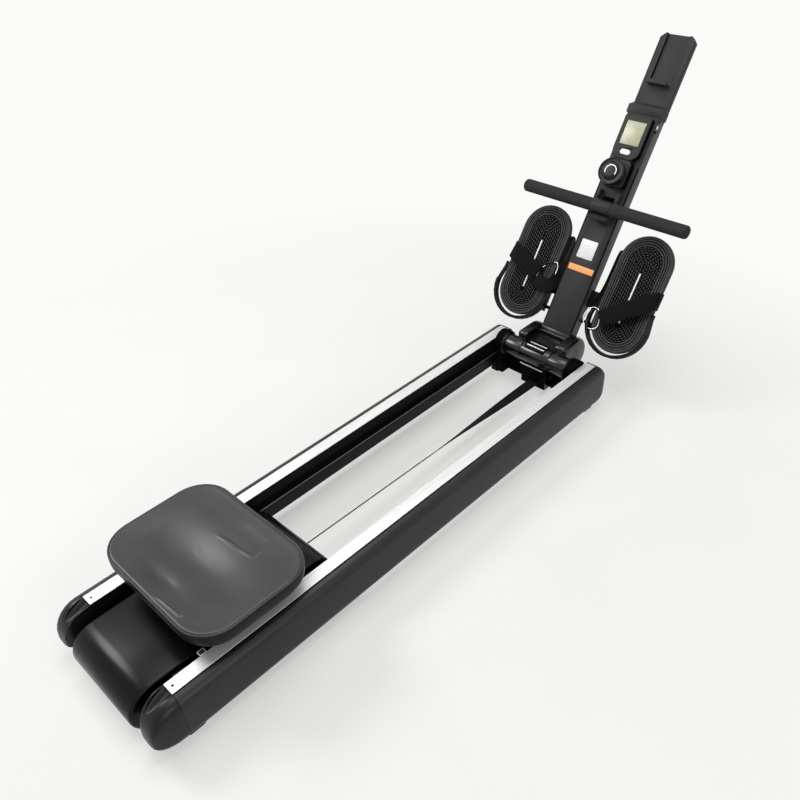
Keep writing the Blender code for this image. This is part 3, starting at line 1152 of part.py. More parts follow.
def make_footrest_frame(column, skins):
    """One welded frame: a rod and a bracket through the column, and a runner behind each pad."""
    rod_x = COLUMN_BACK - COLUMN_WALL - GAP - LOWER_ROD_RADIUS
    reach = PEDAL_SIDE - PAD_WIDTH / 2 - 2 * GAP
    back = COLUMN_BACK - COLUMN_WALL - GAP
    frame = add_object("footrest_frame",
                       box((back - BRACKET_THICK, -reach, BRACKET_LOW), (back, reach, BRACKET_HIGH)),
                       skins["steel_black"], column)
    fuse(frame, rod((rod_x, 0, LOWER_ROD_AT), LOWER_ROD_RADIUS, -reach, reach, "y"), column)
    low = pad_back(RUNNER_LOW) + GAP
    high = pad_back(RUNNER_HIGH) + GAP
    runner = [(low, RUNNER_LOW), (high, RUNNER_HIGH), (high + RUNNER_DEPTH, RUNNER_HIGH),
              (low + RUNNER_DEPTH, RUNNER_LOW)]
    for side in (1, -1):
        inner = reach - RUNNER_JOIN
        ends = sorted((side * inner, side * (inner + RUNNER_WIDTH)))
        fuse(frame, prism(runner, ends[0], ends[1], "y"), column)
    slot = STRAP_WIDTH / 2 + STRAP_SIDE_ROOM
    cut(frame, box((STRAP_LINE - STRAP_CHANNEL_DEPTH, -slot, BRACKET_LOW - OVERSHOOT),
                   (STRAP_LINE + STRAP_WEB + 2 * MM, slot, BRACKET_HIGH + OVERSHOOT)), column)


def stadium(length, width, steps=10):
    half = width / 2
    top = length / 2 - half
    return arc(0, top, half, 0, 180, steps) + arc(0, -top, half, 180, 360, steps)


def make_pedal(side, pedal, skins):
    """Foot pad, heel rim, strap and ring.  Here y runs outwards from the pad's middle line."""
    pad = add_object(mirrored_name(side, "foot_pad"),
                     prism(stadium(PAD_LENGTH, PAD_WIDTH), 0, PAD_THICK, "x"), skins["rubber"], pedal)
    soften(pad, PAD_ROUND, 2, 60)
    half = SLOT_WIDTH / 2
    cut(pad, box((-OVERSHOOT, -half, SLOT_LOW), (PAD_THICK + OVERSHOOT, half, SLOT_HIGH)), pedal)

    rings = []
    centre_z = PAD_WIDTH / 2 - PAD_LENGTH / 2
    radius = PAD_WIDTH / 2 + HEEL_OFFSET
    touch = PAD_WIDTH / 2 + GAP + HEEL_THICK / 2
    half_way = (HEEL_FRONT + HEEL_END_FRONT) / 2
    side_path = [(touch, HEEL_TOP, HEEL_END_FRONT),
                 (touch, HEEL_TOP - HEEL_BLEND / 2, HEEL_END_FRONT),
                 (radius, HEEL_TOP - 2 * HEEL_BLEND, half_way)]
    path = [(-y, z, -1, 0, front) for y, z, front in side_path]
    for step in range(17):
        angle = pi + pi * step / 16
        path.append((radius * cos(angle), centre_z + radius * sin(angle), cos(angle), sin(angle),
                     HEEL_FRONT))
    path += [(y, z, 1, 0, front) for y, z, front in reversed(side_path)]
    for y, z, out_y, out_z, front in path:
        outward = Vector((0, out_y, out_z)) * HEEL_THICK / 2
        deep = Vector(((HEEL_BACK - front) / 2, 0, 0))
        rings.append(band_ring(Vector(((front + HEEL_BACK) / 2, y, z)), deep, outward))
    add_object(mirrored_name(side, "heel_rim"), handed(lofted(rings), side), skins["cover"], pedal)

    make_foot_strap(side, pedal, skins)


def make_foot_strap(side, pedal, skins):
    sizes = LEFT_STRAP if side > 0 else RIGHT_STRAP
    outer_y = PAD_WIDTH / 2 + GAP + STRAP_BAND_THICK / 2
    thick = STRAP_BAND_THICK / 2
    ring_outer = sizes["ring_y"] + RING_LENGTH / 2
    start = Vector((0, outer_y, sizes["outer_z"]))
    end = Vector((0, ring_outer, sizes["ring_z"]))
    way = (end - start).normalized()
    across = Vector((0, -way.z, way.y)) * STRAP_BAND / 2
    # The band's edges run along the pad's side first, then lean into the line of the strap.
    upright = Vector((0, 0, -STRAP_BAND / 2))
    arch = -sizes["arch"]
    rings = [band_ring(Vector((PAD_THICK, outer_y, start.z)), upright, Vector((0, thick, 0))),
             band_ring(Vector((0, outer_y, start.z)), upright, Vector((0, thick, 0))),
             band_ring(Vector((arch * 0.55, outer_y - 2.5 * MM, start.z)), upright.lerp(across, 0.4),
                       Vector((-thick * 0.7, thick * 0.7, 0)))]
    for share in BAND_SHARES:
        point = start.lerp(end, share)
        height = arch * (1 + 0.25 * sin(pi * share))
        rings.append(band_ring(Vector((height, point.y, point.z)), across, Vector((-thick, 0, 0))))
    # The last ring folds the band round the wire of the metal ring.
    wire = RING_WIRE + GAP + thick
    fold = end - way * 0.2 * MM
    for angle in (90, 45, 0, -45, -90):
        turn = radians(angle)
        outward = Vector((-sin(turn), way.y * cos(turn), way.z * cos(turn)))
        centre = Vector((arch + wire, fold.y, fold.z)) + outward * wire
        rings.append(band_ring(centre, across, outward * thick))
    tail = end - way * BAND_TAIL
    rings.append(band_ring(Vector((arch + 2 * wire, tail.y, tail.z)), across, Vector((thick, 0, 0))))
    add_object(mirrored_name(side, "foot_strap"), handed(lofted(rings), side), skins["webbing"], pedal)

    path = ring_path(way, across.normalized(), Vector((arch + wire, fold.y, fold.z)))
    ring = handed(wire_loop(path, RING_WIRE), side)
    add_object(mirrored_name(side, "strap_ring"), ring, skins["chrome"], pedal)


def ring_path(way, across, bar):
    """A D: a straight bar in the strap's fold and a half-round bow beyond it."""
    half = RING_HEIGHT / 2
    points = [bar + across * half * share for share in RING_BAR_SHARES]
    for step in range(1, RING_BOW_STEPS):
        angle = pi * step / RING_BOW_STEPS
        out = RING_LENGTH * RING_BOW_SHARE * sin(angle) + RING_BOW_OUT
        points.append(bar + way * out - across * half * cos(angle))
    return points


def handed(bm, side):
    """The same body for the left side, or its mirror image for the right."""
    bmesh.ops.scale(bm, vec=(1, side, 1), verts=bm.verts[:])
    return bm


def wire_loop(path, radius, sides=8):
    rings = []
    count = len(path)
    flat = Vector((1, 0, 0))
    for index, point in enumerate(path):
        ahead = (path[(index + 1) % count] - path[index - 1]).normalized()
        side_way = ahead.cross(flat)
        turns = [2 * pi * k / sides for k in range(sides)]
        rings.append([point + flat * radius * cos(turn) + side_way * radius * sin(turn)
                      for turn in turns])
    return lofted(rings, closed=True)


def build():
    clear_scene()
    skins = make_finishes()
    machine = add_frame("machine_frame", (-CENTRE_X, 0, 0))
    column = add_frame("fold_axis", PIVOT, TILT, machine)
    for side in (1, -1):
        make_rail(side, machine, skins)
    make_housing(machine, skins)
    make_drive(machine, skins)
    make_seat(machine, skins)
    make_front(machine, skins)
    make_lower_strap(machine, skins)
    make_column_foot(column, machine, skins)
    make_column(column, skins)
    make_console(column, skins)
    make_knob(column, skins)
    make_cradle(column, skins)
    make_handle(column, skins)
    make_footrest_frame(column, skins)
    for side in (1, -1):
        name = mirrored_name(side, "pedal_frame")
        pedal = add_frame(name, (PEDAL_BACK, side * PEDAL_SIDE, PEDAL_UP), radians(PEDAL_LEAN), column)
        make_pedal(side, pedal, skins)


build()
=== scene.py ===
"""The looks of the magnetic rowing machine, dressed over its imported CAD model."""
import json
from math import atan2, cos, exp, hypot, pi, radians, sin

import bmesh
import bpy
from mathutils import Matrix, Vector

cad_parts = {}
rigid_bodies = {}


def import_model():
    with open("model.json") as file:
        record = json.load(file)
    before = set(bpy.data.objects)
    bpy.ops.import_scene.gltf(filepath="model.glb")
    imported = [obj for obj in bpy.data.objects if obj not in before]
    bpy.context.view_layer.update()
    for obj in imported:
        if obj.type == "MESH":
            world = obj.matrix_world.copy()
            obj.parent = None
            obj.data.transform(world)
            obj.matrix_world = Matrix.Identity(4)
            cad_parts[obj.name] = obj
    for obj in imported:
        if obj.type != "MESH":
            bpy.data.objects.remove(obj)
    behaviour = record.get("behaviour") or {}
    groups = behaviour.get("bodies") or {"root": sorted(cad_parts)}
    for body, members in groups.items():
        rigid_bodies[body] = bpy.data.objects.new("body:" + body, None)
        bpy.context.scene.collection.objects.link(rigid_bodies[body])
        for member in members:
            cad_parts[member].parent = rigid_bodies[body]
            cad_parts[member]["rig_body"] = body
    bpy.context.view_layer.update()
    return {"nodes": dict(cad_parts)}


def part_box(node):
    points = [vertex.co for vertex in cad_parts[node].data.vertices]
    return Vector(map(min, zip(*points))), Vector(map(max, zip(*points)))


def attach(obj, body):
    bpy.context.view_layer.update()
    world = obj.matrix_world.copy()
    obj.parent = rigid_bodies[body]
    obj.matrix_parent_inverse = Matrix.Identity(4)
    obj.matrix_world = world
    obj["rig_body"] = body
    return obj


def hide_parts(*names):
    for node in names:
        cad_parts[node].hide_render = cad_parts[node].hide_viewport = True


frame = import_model()
MM = 0.001
SIDES = ((1, "left"), (-1, "right"))

# Places taken from the part, in the machine frame or up the column
CENTRE_X = 861.575 * MM
PIVOT = Vector((1254 * MM - CENTRE_X, 0, 113 * MM))
TILT = radians(32.5)
RAIL_TOP = 130 * MM
LEDGE_TOP = 94 * MM
LEDGE_EDGE = 114 * MM
STRIP_REAR = -CENTRE_X
STRIP_MIDDLE = 141 * MM
SEAT_CENTRE = 192 * MM - CENTRE_X
SEAT_LENGTH = 267 * MM
SEAT_WIDTH = 360 * MM
SEAT_CORNER = 72 * MM
SEAT_LOW = 182 * MM
COLUMN_FACE = 41.5 * MM
REST_SIDE = 48 * MM
PEDAL_BACK = 56.4 * MM
PEDAL_SIDE = 153.8 * MM
PEDAL_UP = 234.2 * MM
PEDAL_LEAN = radians(2)
PAD_LENGTH = 315 * MM
PAD_WIDTH = 147 * MM
PAD_THICK = 16 * MM

COLUMN = Matrix.Translation(PIVOT) @ Matrix.Rotation(TILT, 4, "Y")
TOWARDS_REAR = Vector((-cos(TILT), 0, sin(TILT)))


# Finishes


def linear(hex_colour):
    """The linear colour of an sRGB hex value, as the shader wants it."""
    shares = [int(hex_colour[place:place + 2], 16) / 255 for place in (1, 3, 5)]
    return [s / 12.92 if s <= 0.04045 else ((s + 0.055) / 1.055) ** 2.4 for s in shares] + [1]


def feed(tree, node, links):
    """Links a node's inputs to the sockets that feed them."""
    for name, source in links.items():
        tree.links.new(source, node.inputs[name])


def add_node(tree, kind, settings=None, values=None, links=None, stops=None):
    """A node with its settings, its input values, the sockets that feed it and a ramp's two stops."""
    node = tree.nodes.new("ShaderNode" + kind)
    for name, setting in (settings or {}).items():
        setattr(node, name, setting)
    for name, number in (values or {}).items():
        node.inputs[name].default_value = number
    for index, (position, colour) in enumerate(stops or []):
        node.color_ramp.elements[index].position = position
        node.color_ramp.elements[index].color = linear(colour)
    feed(tree, node, links or {})
    return node


def start_finish(name, base, roughness, metallic=0.0, **more):
    """A named finish with its shader's own sockets set, ready for patterns."""
    finish = bpy.data.materials.new(name)
    finish.use_nodes = True
    tree = finish.node_tree
    shader = tree.nodes["Principled BSDF"]
    shader.inputs["Base Color"].default_value = linear(base)
    shader.inputs["Roughness"].default_value = roughness
    shader.inputs["Metallic"].default_value = metallic
    for socket, number in more.items():
        shader.inputs[socket.replace("_", " ")].default_value = number
    place = add_node(tree, "TexCoord").outputs["Object"]
    return finish, tree, shader, place


def two_shades(dark, light, start=0.35, end=0.65):
    """A ramp's stops between two shades of one colour, where a cloudy pattern turns."""
    return [(start, dark), (end, light)]


def per_mm(size):
    """A pattern's scale for features of a real size in millimetres."""
    return 1000 / size


def moulded_plastic(name, base, dark, roughness, shine, grain=1.6, depth=0.05):
    """Moulded ABS with a spark-eroded grain: satin sheen, slightly cloudy."""
    finish, tree, shader, place = start_finish(name, base, roughness, Specular_IOR_Level=shine)
    clouds = add_node(tree, "TexNoise", values={"Scale": per_mm(90), "Detail": 3}, links={"Vector": place})
    colour = add_node(tree, "ValToRGB", links={"Fac": clouds.outputs["Fac"]}, stops=two_shades(dark, base))
    sheen = add_node(tree, "MapRange", values={"To Min": roughness - 0.05, "To Max": roughness + 0.06},
                     links={"Value": clouds.outputs["Fac"]})
    # The real grain is 0.3 mm, too fine for the render, so it is drawn coarser.
    grit = add_node(tree, "TexNoise", values={"Scale": per_mm(grain), "Detail": 2}, links={"Vector": place})
    bumps = add_node(tree, "Bump", values={"Distance": depth * MM, "Strength": 0.6},
                     links={"Height": grit.outputs["Fac"]})
    feed(tree, shader, {"Base Color": colour.outputs["Color"], "Roughness": sheen.outputs["Result"],
                        "Normal": bumps.outputs["Normal"]})
    return finish


def powder_coat(name, base, dark, roughness, shine=0.3):
    """Powder-coated steel: an even matt coat with the shallow waves of orange peel."""
    finish, tree, shader, place = start_finish(name, base, roughness, Specular_IOR_Level=shine)
    clouds = add_node(tree, "TexNoise", values={"Scale": per_mm(120), "Detail": 2}, links={"Vector": place})
    colour = add_node(tree, "ValToRGB", links={"Fac": clouds.outputs["Fac"]}, stops=two_shades(dark, base))
    peel = add_node(tree, "TexNoise", values={"Scale": per_mm(2.2), "Detail": 1}, links={"Vector": place})
    waves = add_node(tree, "Bump", values={"Distance": 0.08 * MM, "Strength": 0.5},
                     links={"Height": peel.outputs["Fac"]})
    feed(tree, shader, {"Base Color": colour.outputs["Color"], "Normal": waves.outputs["Normal"]})
    return finish


def brushed_aluminium(name):
    """Anodised aluminium, brushed along the rail: bright, with fine streaks drawn out lengthways."""
    finish, tree, shader, place = start_finish(name, "#d9d9d8", 0.5, 0.4)
    drawn = add_node(tree, "Mapping", values={"Scale": (0.01, 1, 1)}, links={"Vector": place})
    # Real brush marks are about 0.1 mm wide, so they are drawn coarser to show.
    lines = add_node(tree, "TexNoise", values={"Scale": per_mm(1.4), "Detail": 4},
                     links={"Vector": drawn.outputs["Vector"]})
    streak = lines.outputs["Fac"]
    colour = add_node(tree, "ValToRGB", links={"Fac": streak}, stops=two_shades("#cfcfce", "#e2e2e1"))
    sheen = add_node(tree, "MapRange", values={"To Min": 0.46, "To Max": 0.56}, links={"Value": streak})
    scores = add_node(tree, "Bump", values={"Distance": 0.03 * MM, "Strength": 0.5},
                      links={"Height": streak})
    feed(tree, shader, {"Base Color": colour.outputs["Color"], "Roughness": sheen.outputs["Result"],
                        "Normal": scores.outputs["Normal"]})
    return finish


def foam_rubber(name):
    """Closed-cell foam sleeve: dead matt, with tiny open cells on its skin."""
    finish, tree, shader, place = start_finish(name, "#242425", 0.85, Specular_IOR_Level=0.2)
    # Real cells are about 0.5 mm wide, drawn at 1.6 mm so that they show.
    cells = add_node(tree, "TexVoronoi", values={"Scale": per_mm(1.6)}, links={"Vector": place})
    colour = add_node(tree, "ValToRGB", links={"Fac": cells.outputs["Distance"]},
                      stops=two_shades("#1a1a1b", "#2d2d2e", 0.0, 0.7))
    pores = add_node(tree, "Bump", values={"Distance": 0.25 * MM, "Strength": 0.7},
                     links={"Height": cells.outputs["Distance"]})
    feed(tree, shader, {"Base Color": colour.outputs["Color"], "Normal": pores.outputs["Normal"]})
    return finish


def seat_skin(name, base, dark, shine):
    """Integral-skin polyurethane: an even dark grey with a low leather grain and a soft sheen."""
    finish, tree, shader, place = start_finish(name, base, 0.36, Specular_IOR_Level=shine)
    clouds = add_node(tree, "TexNoise", values={"Scale": per_mm(70), "Detail": 3}, links={"Vector": place})
    colour = add_node(tree, "ValToRGB", links={"Fac": clouds.outputs["Fac"]}, stops=two_shades(dark, base))
    sheen = add_node(tree, "MapRange", values={"To Min": 0.33, "To Max": 0.39},
                     links={"Value": clouds.outputs["Fac"]})
    # Leather grain of about 1 mm, drawn at 1.8 mm so that it shows.
    creases = add_node(tree, "TexVoronoi", {"feature": "DISTANCE_TO_EDGE"}, {"Scale": per_mm(1.8)},
                       {"Vector": place})
    soft = add_node(tree, "MapRange", values={"From Max": 0.12},
                    links={"Value": creases.outputs["Distance"]})
    grain = add_node(tree, "Bump", values={"Distance": 0.06 * MM, "Strength": 0.6},
                     links={"Height": soft.outputs["Result"]})
    feed(tree, shader, {"Base Color": colour.outputs["Color"], "Roughness": sheen.outputs["Result"],
                        "Normal": grain.outputs["Normal"]})
    return finish


def rubber(name, base, dark, shine=0.25):
    """Moulded rubber: matt, slightly greyed where it has rubbed."""
    finish, tree, shader, place = start_finish(name, base, 0.72, Specular_IOR_Level=shine)
    bloom = add_node(tree, "TexNoise", values={"Scale": per_mm(30), "Detail": 3}, links={"Vector": place})
    colour = add_node(tree, "ValToRGB", links={"Fac": bloom.outputs["Fac"]}, stops=two_shades(dark, base))
    # Real grit is finer than 0.3 mm, so it is drawn coarser to show.
    grit = add_node(tree, "TexNoise", values={"Scale": per_mm(1.2)}, links={"Vector": place})
    bumps = add_node(tree, "Bump", values={"Distance": 0.06 * MM, "Strength": 0.5},
                     links={"Height": grit.outputs["Fac"]})
    feed(tree, shader, {"Base Color": colour.outputs["Color"], "Normal": bumps.outputs["Normal"]})
    return finish


# A wave texture draws about 3.2 waves in a unit of its scale, so with this unit in millimetres the ribs
# lie 3.55 mm apart. Real ones lie about 1.2 mm apart, too fine to show.
RIB_UNIT = 11.304


def webbing(name, along):
    """Woven polyester webbing: ribs across the band with a finer thread over them."""
    finish, tree, shader, place = start_finish(name, "#080809", 0.78, Specular_IOR_Level=0.08,
                                               Sheen_Weight=0.04)
    ribs = add_node(tree, "TexWave", {"bands_direction": along},
                    {"Scale": per_mm(RIB_UNIT), "Distortion": 0.3}, {"Vector": place})
    threads = add_node(tree, "TexNoise", values={"Scale": per_mm(0.9)}, links={"Vector": place})
    woven = add_node(tree, "Math", {"operation": "ADD"},
                     links={0: ribs.outputs["Fac"], 1: threads.outputs["Fac"]})
    colour = add_node(tree, "ValToRGB", links={"Fac": ribs.outputs["Fac"]},
                      stops=two_shades("#060607", "#0e0e0f"))
    weave = add_node(tree, "Bump", values={"Distance": 0.18 * MM, "Strength": 0.7},
                     links={"Height": woven.outputs["Value"]})
    feed(tree, shader, {"Base Color": colour.outputs["Color"], "Normal": weave.outputs["Normal"]})
    return finish


def bright_metal(name, base, dark, roughness, metallic=1.0):
    """Turned or plated metal: a bright shine with faint rubbing marks in it."""
    finish, tree, shader, place = start_finish(name, base, roughness, metallic)
    marks = add_node(tree, "TexNoise", values={"Scale": per_mm(3), "Detail": 4}, links={"Vector": place})
    colour = add_node(tree, "ValToRGB", links={"Fac": marks.outputs["Fac"]}, stops=two_shades(dark, base))
    sheen = add_node(tree, "MapRange", values={"To Min": roughness * 0.8, "To Max": roughness * 1.3},
                     links={"Value": marks.outputs["Fac"]})
    feed(tree, shader, {"Base Color": colour.outputs["Color"], "Roughness": sheen.outputs["Result"]})
    return finish


def plain_moulding(name, base, dark, roughness):
    """Small moulded or printed pieces in a pale colour, with a faint mottle."""
    finish, tree, shader, place = start_finish(name, base, roughness)
    mottle = add_node(tree, "TexNoise", values={"Scale": per_mm(8), "Detail": 3}, links={"Vector": place})
    colour = add_node(tree, "ValToRGB", links={"Fac": mottle.outputs["Fac"]}, stops=two_shades(dark, base))
    feed(tree, shader, {"Base Color": colour.outputs["Color"]})
    return finish


FINISHES = {
    "shell": moulded_plastic("satin_black_ABS_rail", "#252526", "#1f1f20", 0.4, 0.25),
    "cover": moulded_plastic("satin_black_ABS_cover", "#070708", "#050506", 0.24, 0.15),
    "cap": moulded_plastic("satin_black_ABS_cap", "#171718", "#131314", 0.34, 0.2),
    "foot": moulded_plastic("glossy_black_ABS_fold", "#060607", "#040405", 0.22, 0.45, 2.0, 0.02),
    "channel": powder_coat("grey_powder_coated_steel", "#4c4c4e", "#444446", 0.5),
    "front": powder_coat("black_powder_coated_steel", "#2e2e2f", "#28282a", 0.5, 0.14),
    "beam": powder_coat("black_painted_steel", "#080808", "#050505", 0.5, 0.12),
    "strip": brushed_aluminium("brushed_anodised_aluminium"),
    # Near-black ABS of the bridge, the screws and the catches, also painted on faces in shade as painted
    # shade.
    "bridge": moulded_plastic("black_ABS_and_painted_shade", "#040404", "#020202", 0.7, 0.03),
    "foam": foam_rubber("closed_cell_foam"),
    "seat": seat_skin("integral_skin_polyurethane", "#2d2d2d", "#292929", 0.4),
    # A darker, duller copy of the seat's skin, painted on its side and underside as painted shade.
    "skirt": seat_skin("seat_skin_in_painted_shade", "#181818", "#141414", 0.1),
    "rubber": rubber("moulded_rubber", "#0c0c0c", "#080808"),
    "pad": rubber("ribbed_rubber", "#3a3a3b", "#313133"),
    # Near-black rubber painted into the pads' grooves and beside the column's cover as painted shade.
    "groove": rubber("rubber_painted_shade_in_grooves", "#080808", "#060606", 0.05),
    "webbing": webbing("black_polyester_webbing", "Z"),
    "pull": webbing("black_pull_webbing", "X"),
    # Cast iron of the flywheel, also the painted highlight along the ledges' edges.
    "iron": bright_metal("turned_cast_iron_and_painted_highlight", "#8e8e8c", "#757573", 0.4),
    "steel": bright_metal("zinc_plated_steel", "#c2c2c0", "#a9a9a7", 0.3),
    "spring": bright_metal("blued_spring_steel", "#6a6a70", "#54545a", 0.35),
    # The rings' chrome is only partly metallic: its pale diffuse share is painted reflection, so that they
    # look bright all round.
    "chrome": bright_metal("chromed_wire_with_painted_reflection", "#e6e6e8", "#d8d8da", 0.25, 0.6),
    # Grey nylon of the drum, pulleys and wheels, also the painted highlight under the column's shoe.
    "nylon": plain_moulding("grey_nylon", "#6a6a6a", "#5f5f5f", 0.5),
    "screen": plain_moulding("liquid_crystal_window", "#a3a488", "#9b9d80", 0.3),
    "button": plain_moulding("white_silicone_button", "#f1f1ef", "#e8e8e6", 0.45),
    # Pale aluminium of the plate and the fold's bars, also the painted highlight on the fold's lip.
    "plate": plain_moulding("pale_aluminium_and_painted_highlight", "#d9d9d8", "#cdcdcc", 0.4),
    "orange": plain_moulding("orange_vinyl_strip", "#eba05c", "#e29751", 0.5),
    "red": plain_moulding("red_brown_nylon", "#541a14", "#471510", 0.5),
}


# Tools that shape and dress a piece


def body_of(node):
    """The name of the body that a CAD node rides on."""
    return frame["nodes"][node]["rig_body"]


def both(name):
    """The names of the left and the right node of a pair."""
    return ["left_" + name, "right_" + name]


def select_only(piece):
    """Selects one piece and makes it the active one."""
    bpy.ops.object.select_all(action="DESELECT")
    piece.select_set(True)
    bpy.context.view_layer.objects.active = piece


def open_edit(piece):
    """Opens one piece in edit mode."""
    select_only(piece)
    bpy.ops.object.mode_set(mode="EDIT")


def close_edit():
    """Goes back to object mode."""
    bpy.ops.object.mode_set(mode="OBJECT")


def take_new(name):
    """The primitive just added, under its own name and with its place baked into its mesh."""
    piece = bpy.context.object
    piece.name = name
    bpy.ops.object.transform_apply(location=True, rotation=True, scale=True)
    return piece


def round_edges(piece, width, segments=3, angle=40):
    """A rounded edge that a modifier cuts, applied at once."""
    select_only(piece)
    step = piece.modifiers.new("rounded_edges", "BEVEL")
    step.width = width
    step.segments = segments
    step.limit_method = "ANGLE"
    step.angle_limit = radians(angle)
    bpy.ops.object.modifier_apply(modifier=step.name)


def subdivide(piece, levels):
    """A finer, rounder mesh, applied at once."""
    select_only(piece)
    step = piece.modifiers.new("finer", "SUBSURF")
    step.levels = levels
    step.render_levels = levels
    bpy.ops.object.modifier_apply(modifier=step.name)


def smooth(piece, angle=35):
    """Smooth shading, but not over edges sharper than the angle in degrees."""
    select_only(piece)
    bpy.ops.object.shade_smooth_by_angle(angle=radians(angle))


def dress(piece, finish, node=None, body=None):
    """Gives a finished piece its material and its body, and hides the CAD node that it stands for."""
    piece.data.materials.clear()
    piece.data.materials.append(FINISHES[finish])
    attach(piece, body or body_of(node))
    if node:
        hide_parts(node)


def second_finish(piece, finish, chosen):
    """A second material on the faces that a rule picks by their middle and normal."""
    piece.data.materials.append(FINISHES[finish])
    for face in piece.data.polygons:
        if chosen(face.center, face.normal):
            face.material_index = 1


def merged_copy(node, name):
    """A copy of a CAD node's mesh with its loose triangles joined into clean faces."""
    mesh = frame["nodes"][node].data.copy()
    piece = bpy.data.objects.new(name, mesh)
    bpy.context.scene.collection.objects.link(piece)
    open_edit(piece)
    bpy.ops.mesh.select_all(action="SELECT")
    bpy.ops.mesh.remove_doubles(threshold=0.01 * MM)
    bpy.ops.mesh.dissolve_limited(angle_limit=radians(0.6))
    close_edit()
    return piece


def stack(name, rings):
    """A filled circle primitive, moved onto the first outline and extruded on from ring to ring."""
    bpy.ops.object.select_all(action="DESELECT")
    bpy.ops.mesh.primitive_circle_add(vertices=len(rings[0]), fill_type="NGON")
    piece = take_new(name)
    for vertex, point in zip(piece.data.vertices, rings[0]):
        vertex.co = point
    open_edit(piece)
    bpy.ops.mesh.select_all(action="SELECT")
    work = bmesh.from_edit_mesh(piece.data)
    order = work.verts.layers.int.new("order")
    for index, vertex in enumerate(work.verts):
        vertex[order] = index
    bmesh.update_edit_mesh(piece.data)
    for ring in rings[1:]:
        bpy.ops.mesh.extrude_region_move()
        work = bmesh.from_edit_mesh(piece.data)
        order = work.verts.layers.int["order"]
        for vertex in work.verts:
            if vertex.select:
                vertex.co = ring[vertex[order]]
        bmesh.update_edit_mesh(piece.data)
    bpy.ops.mesh.select_all(action="SELECT")
    bpy.ops.mesh.normals_make_consistent(inside=False)
    close_edit()
    piece.data.attributes.remove(piece.data.attributes["order"])
    return piece


def slab(name, outline, low, high, edge, place=None):
    """A flat piece: an outline in y and z, from one x to another, with rounded edges."""
    piece = stack(name, [[(x, y, z) for y, z in outline] for x in (high, low)])
    if edge:
        round_edges(piece, edge, 2)
    smooth(piece)
    if place:
        piece.data.transform(place)
    return piece


# The least cosine at which a face counts as looking one way
FACING = 0.9


def choose_faces(piece, towards):
    """In edit mode, selects only the faces that look one way."""
    bpy.ops.mesh.select_all(action="DESELECT")
    bpy.ops.mesh.select_mode(type="FACE")
    work = bmesh.from_edit_mesh(piece.data)
    work.normal_update()
    way = Vector(towards)
    for face in work.faces:
        face.select = face.normal.dot(way) > FACING
    bmesh.update_edit_mesh(piece.data)


def arc(centre_a, centre_b, radius, start, stop, steps):
    """Points on an arc, angles in degrees, both ends included."""
    turns = [radians(start + (stop - start) * step / steps) for step in range(steps + 1)]
    return [(centre_a + radius * cos(turn), centre_b + radius * sin(turn)) for turn in turns]


def rounded_outline(half_a, half_b, radius, steps, between=0):
    """A rounded rectangle about the origin, with more points along its straight sides if wanted."""
    a = half_a - radius
    b = half_b - radius
    corners = [arc(a, b, radius, 0, 90, steps), arc(-a, b, radius, 90, 180, steps),
               arc(-a, -b, radius, 180, 270, steps), arc(a, -b, radius, 270, 360, steps)]
    points = []
    for corner, following in zip(corners, corners[1:] + corners[:1]):
        points += corner
        for step in range(1, between + 1):
            share = step / (between + 1)
            points.append((corner[-1][0] + (following[0][0] - corner[-1][0]) * share,
                           corner[-1][1] + (following[0][1] - corner[-1][1]) * share))
    return points


def face_piece(name, finish, middle, half, corner, rise, edge, steps):
    """A flat piece on the column's face in millimetres: its middle, half sizes and start and end heights."""
    outline = [(y + middle[0] * MM, z + middle[1] * MM)
               for y, z in rounded_outline(half[0] * MM, half[1] * MM, corner * MM, steps)]
    low, high = [COLUMN_FACE + height * MM for height in rise]
    dress(slab(name, outline, low, high, edge * MM, COLUMN), finish, body="column")


# CAD nodes that show as they are, by finish
KEPT = {"iron": ["flywheel"], "steel": ["flywheel_axle", "drum_axle", "magnet_bracket", "hinge_pin"],
        "spring": ["recoil_spring"], "nylon": ["strap_drum", "front_pulley", "strap_roller"],
        "rubber": ["drive_belt"] + both("rear_foot") + both("front_foot"),
        "beam": ["rear_housing_tray", "rear_cross_tube", "drive_cross_tube", "handlebar_tube"]}
# CAD nodes that get rounded edges: each with its finish and the edges' radius in millimetres
PAIRS = [("rail_shell", "shell", 1.2), ("rail_beam", "beam", 0.6), ("rail_strip", "strip", 0.4),
         ("heel_rim", "beam", 0.5), ("rear_seat_wheel", "nylon", 0.5), ("front_seat_wheel", "nylon", 0.5)]
SINGLES = [("rear_housing_cover", "cover", 0), ("seat_base", "cover", 0), ("seat_carriage", "beam", 0.6),
           ("front_bridge", "bridge", 1.0), ("strap_pulley_cover", "foot", 0.8),
           ("column_foot", "foot", 0.8), ("column_channel", "channel", 0.8), ("column_cover", "front", 0.6),
           ("phone_rest", "front", 0.8), ("upper_pull_strap", "pull", 0), ("console_housing", "front", 0),
           ("display_screen", "screen", 0.2), ("console_button", "button", 0.5), ("knob_base", "front", 0),
           ("handle_cradle", "front", 0.6), ("handle_collar", "front", 0), ("footrest_frame", "beam", 0.8)]


def above_ledge(middle, normal):
    """A rail beam's faces from the top of its ledge upwards, painted black as painted shade."""
    return middle.z > LEDGE_TOP - 1 * MM


def low_at_rear(middle, normal):
    """The pulley cover's rear below the hinge barrel, painted black as painted shade."""
    return normal.x < -0.6 and middle.z < PIVOT.z - 20 * MM


def right_side(middle, normal):
    """A side that looks to the machine's right, painted black as painted shade."""
    return normal.y < -0.5


def inside_left_wall(middle, normal):
    """The phone rest's left wall, seen from inside the recess, painted black as painted shade."""
    return normal.y < -0.9 and middle.y > 0


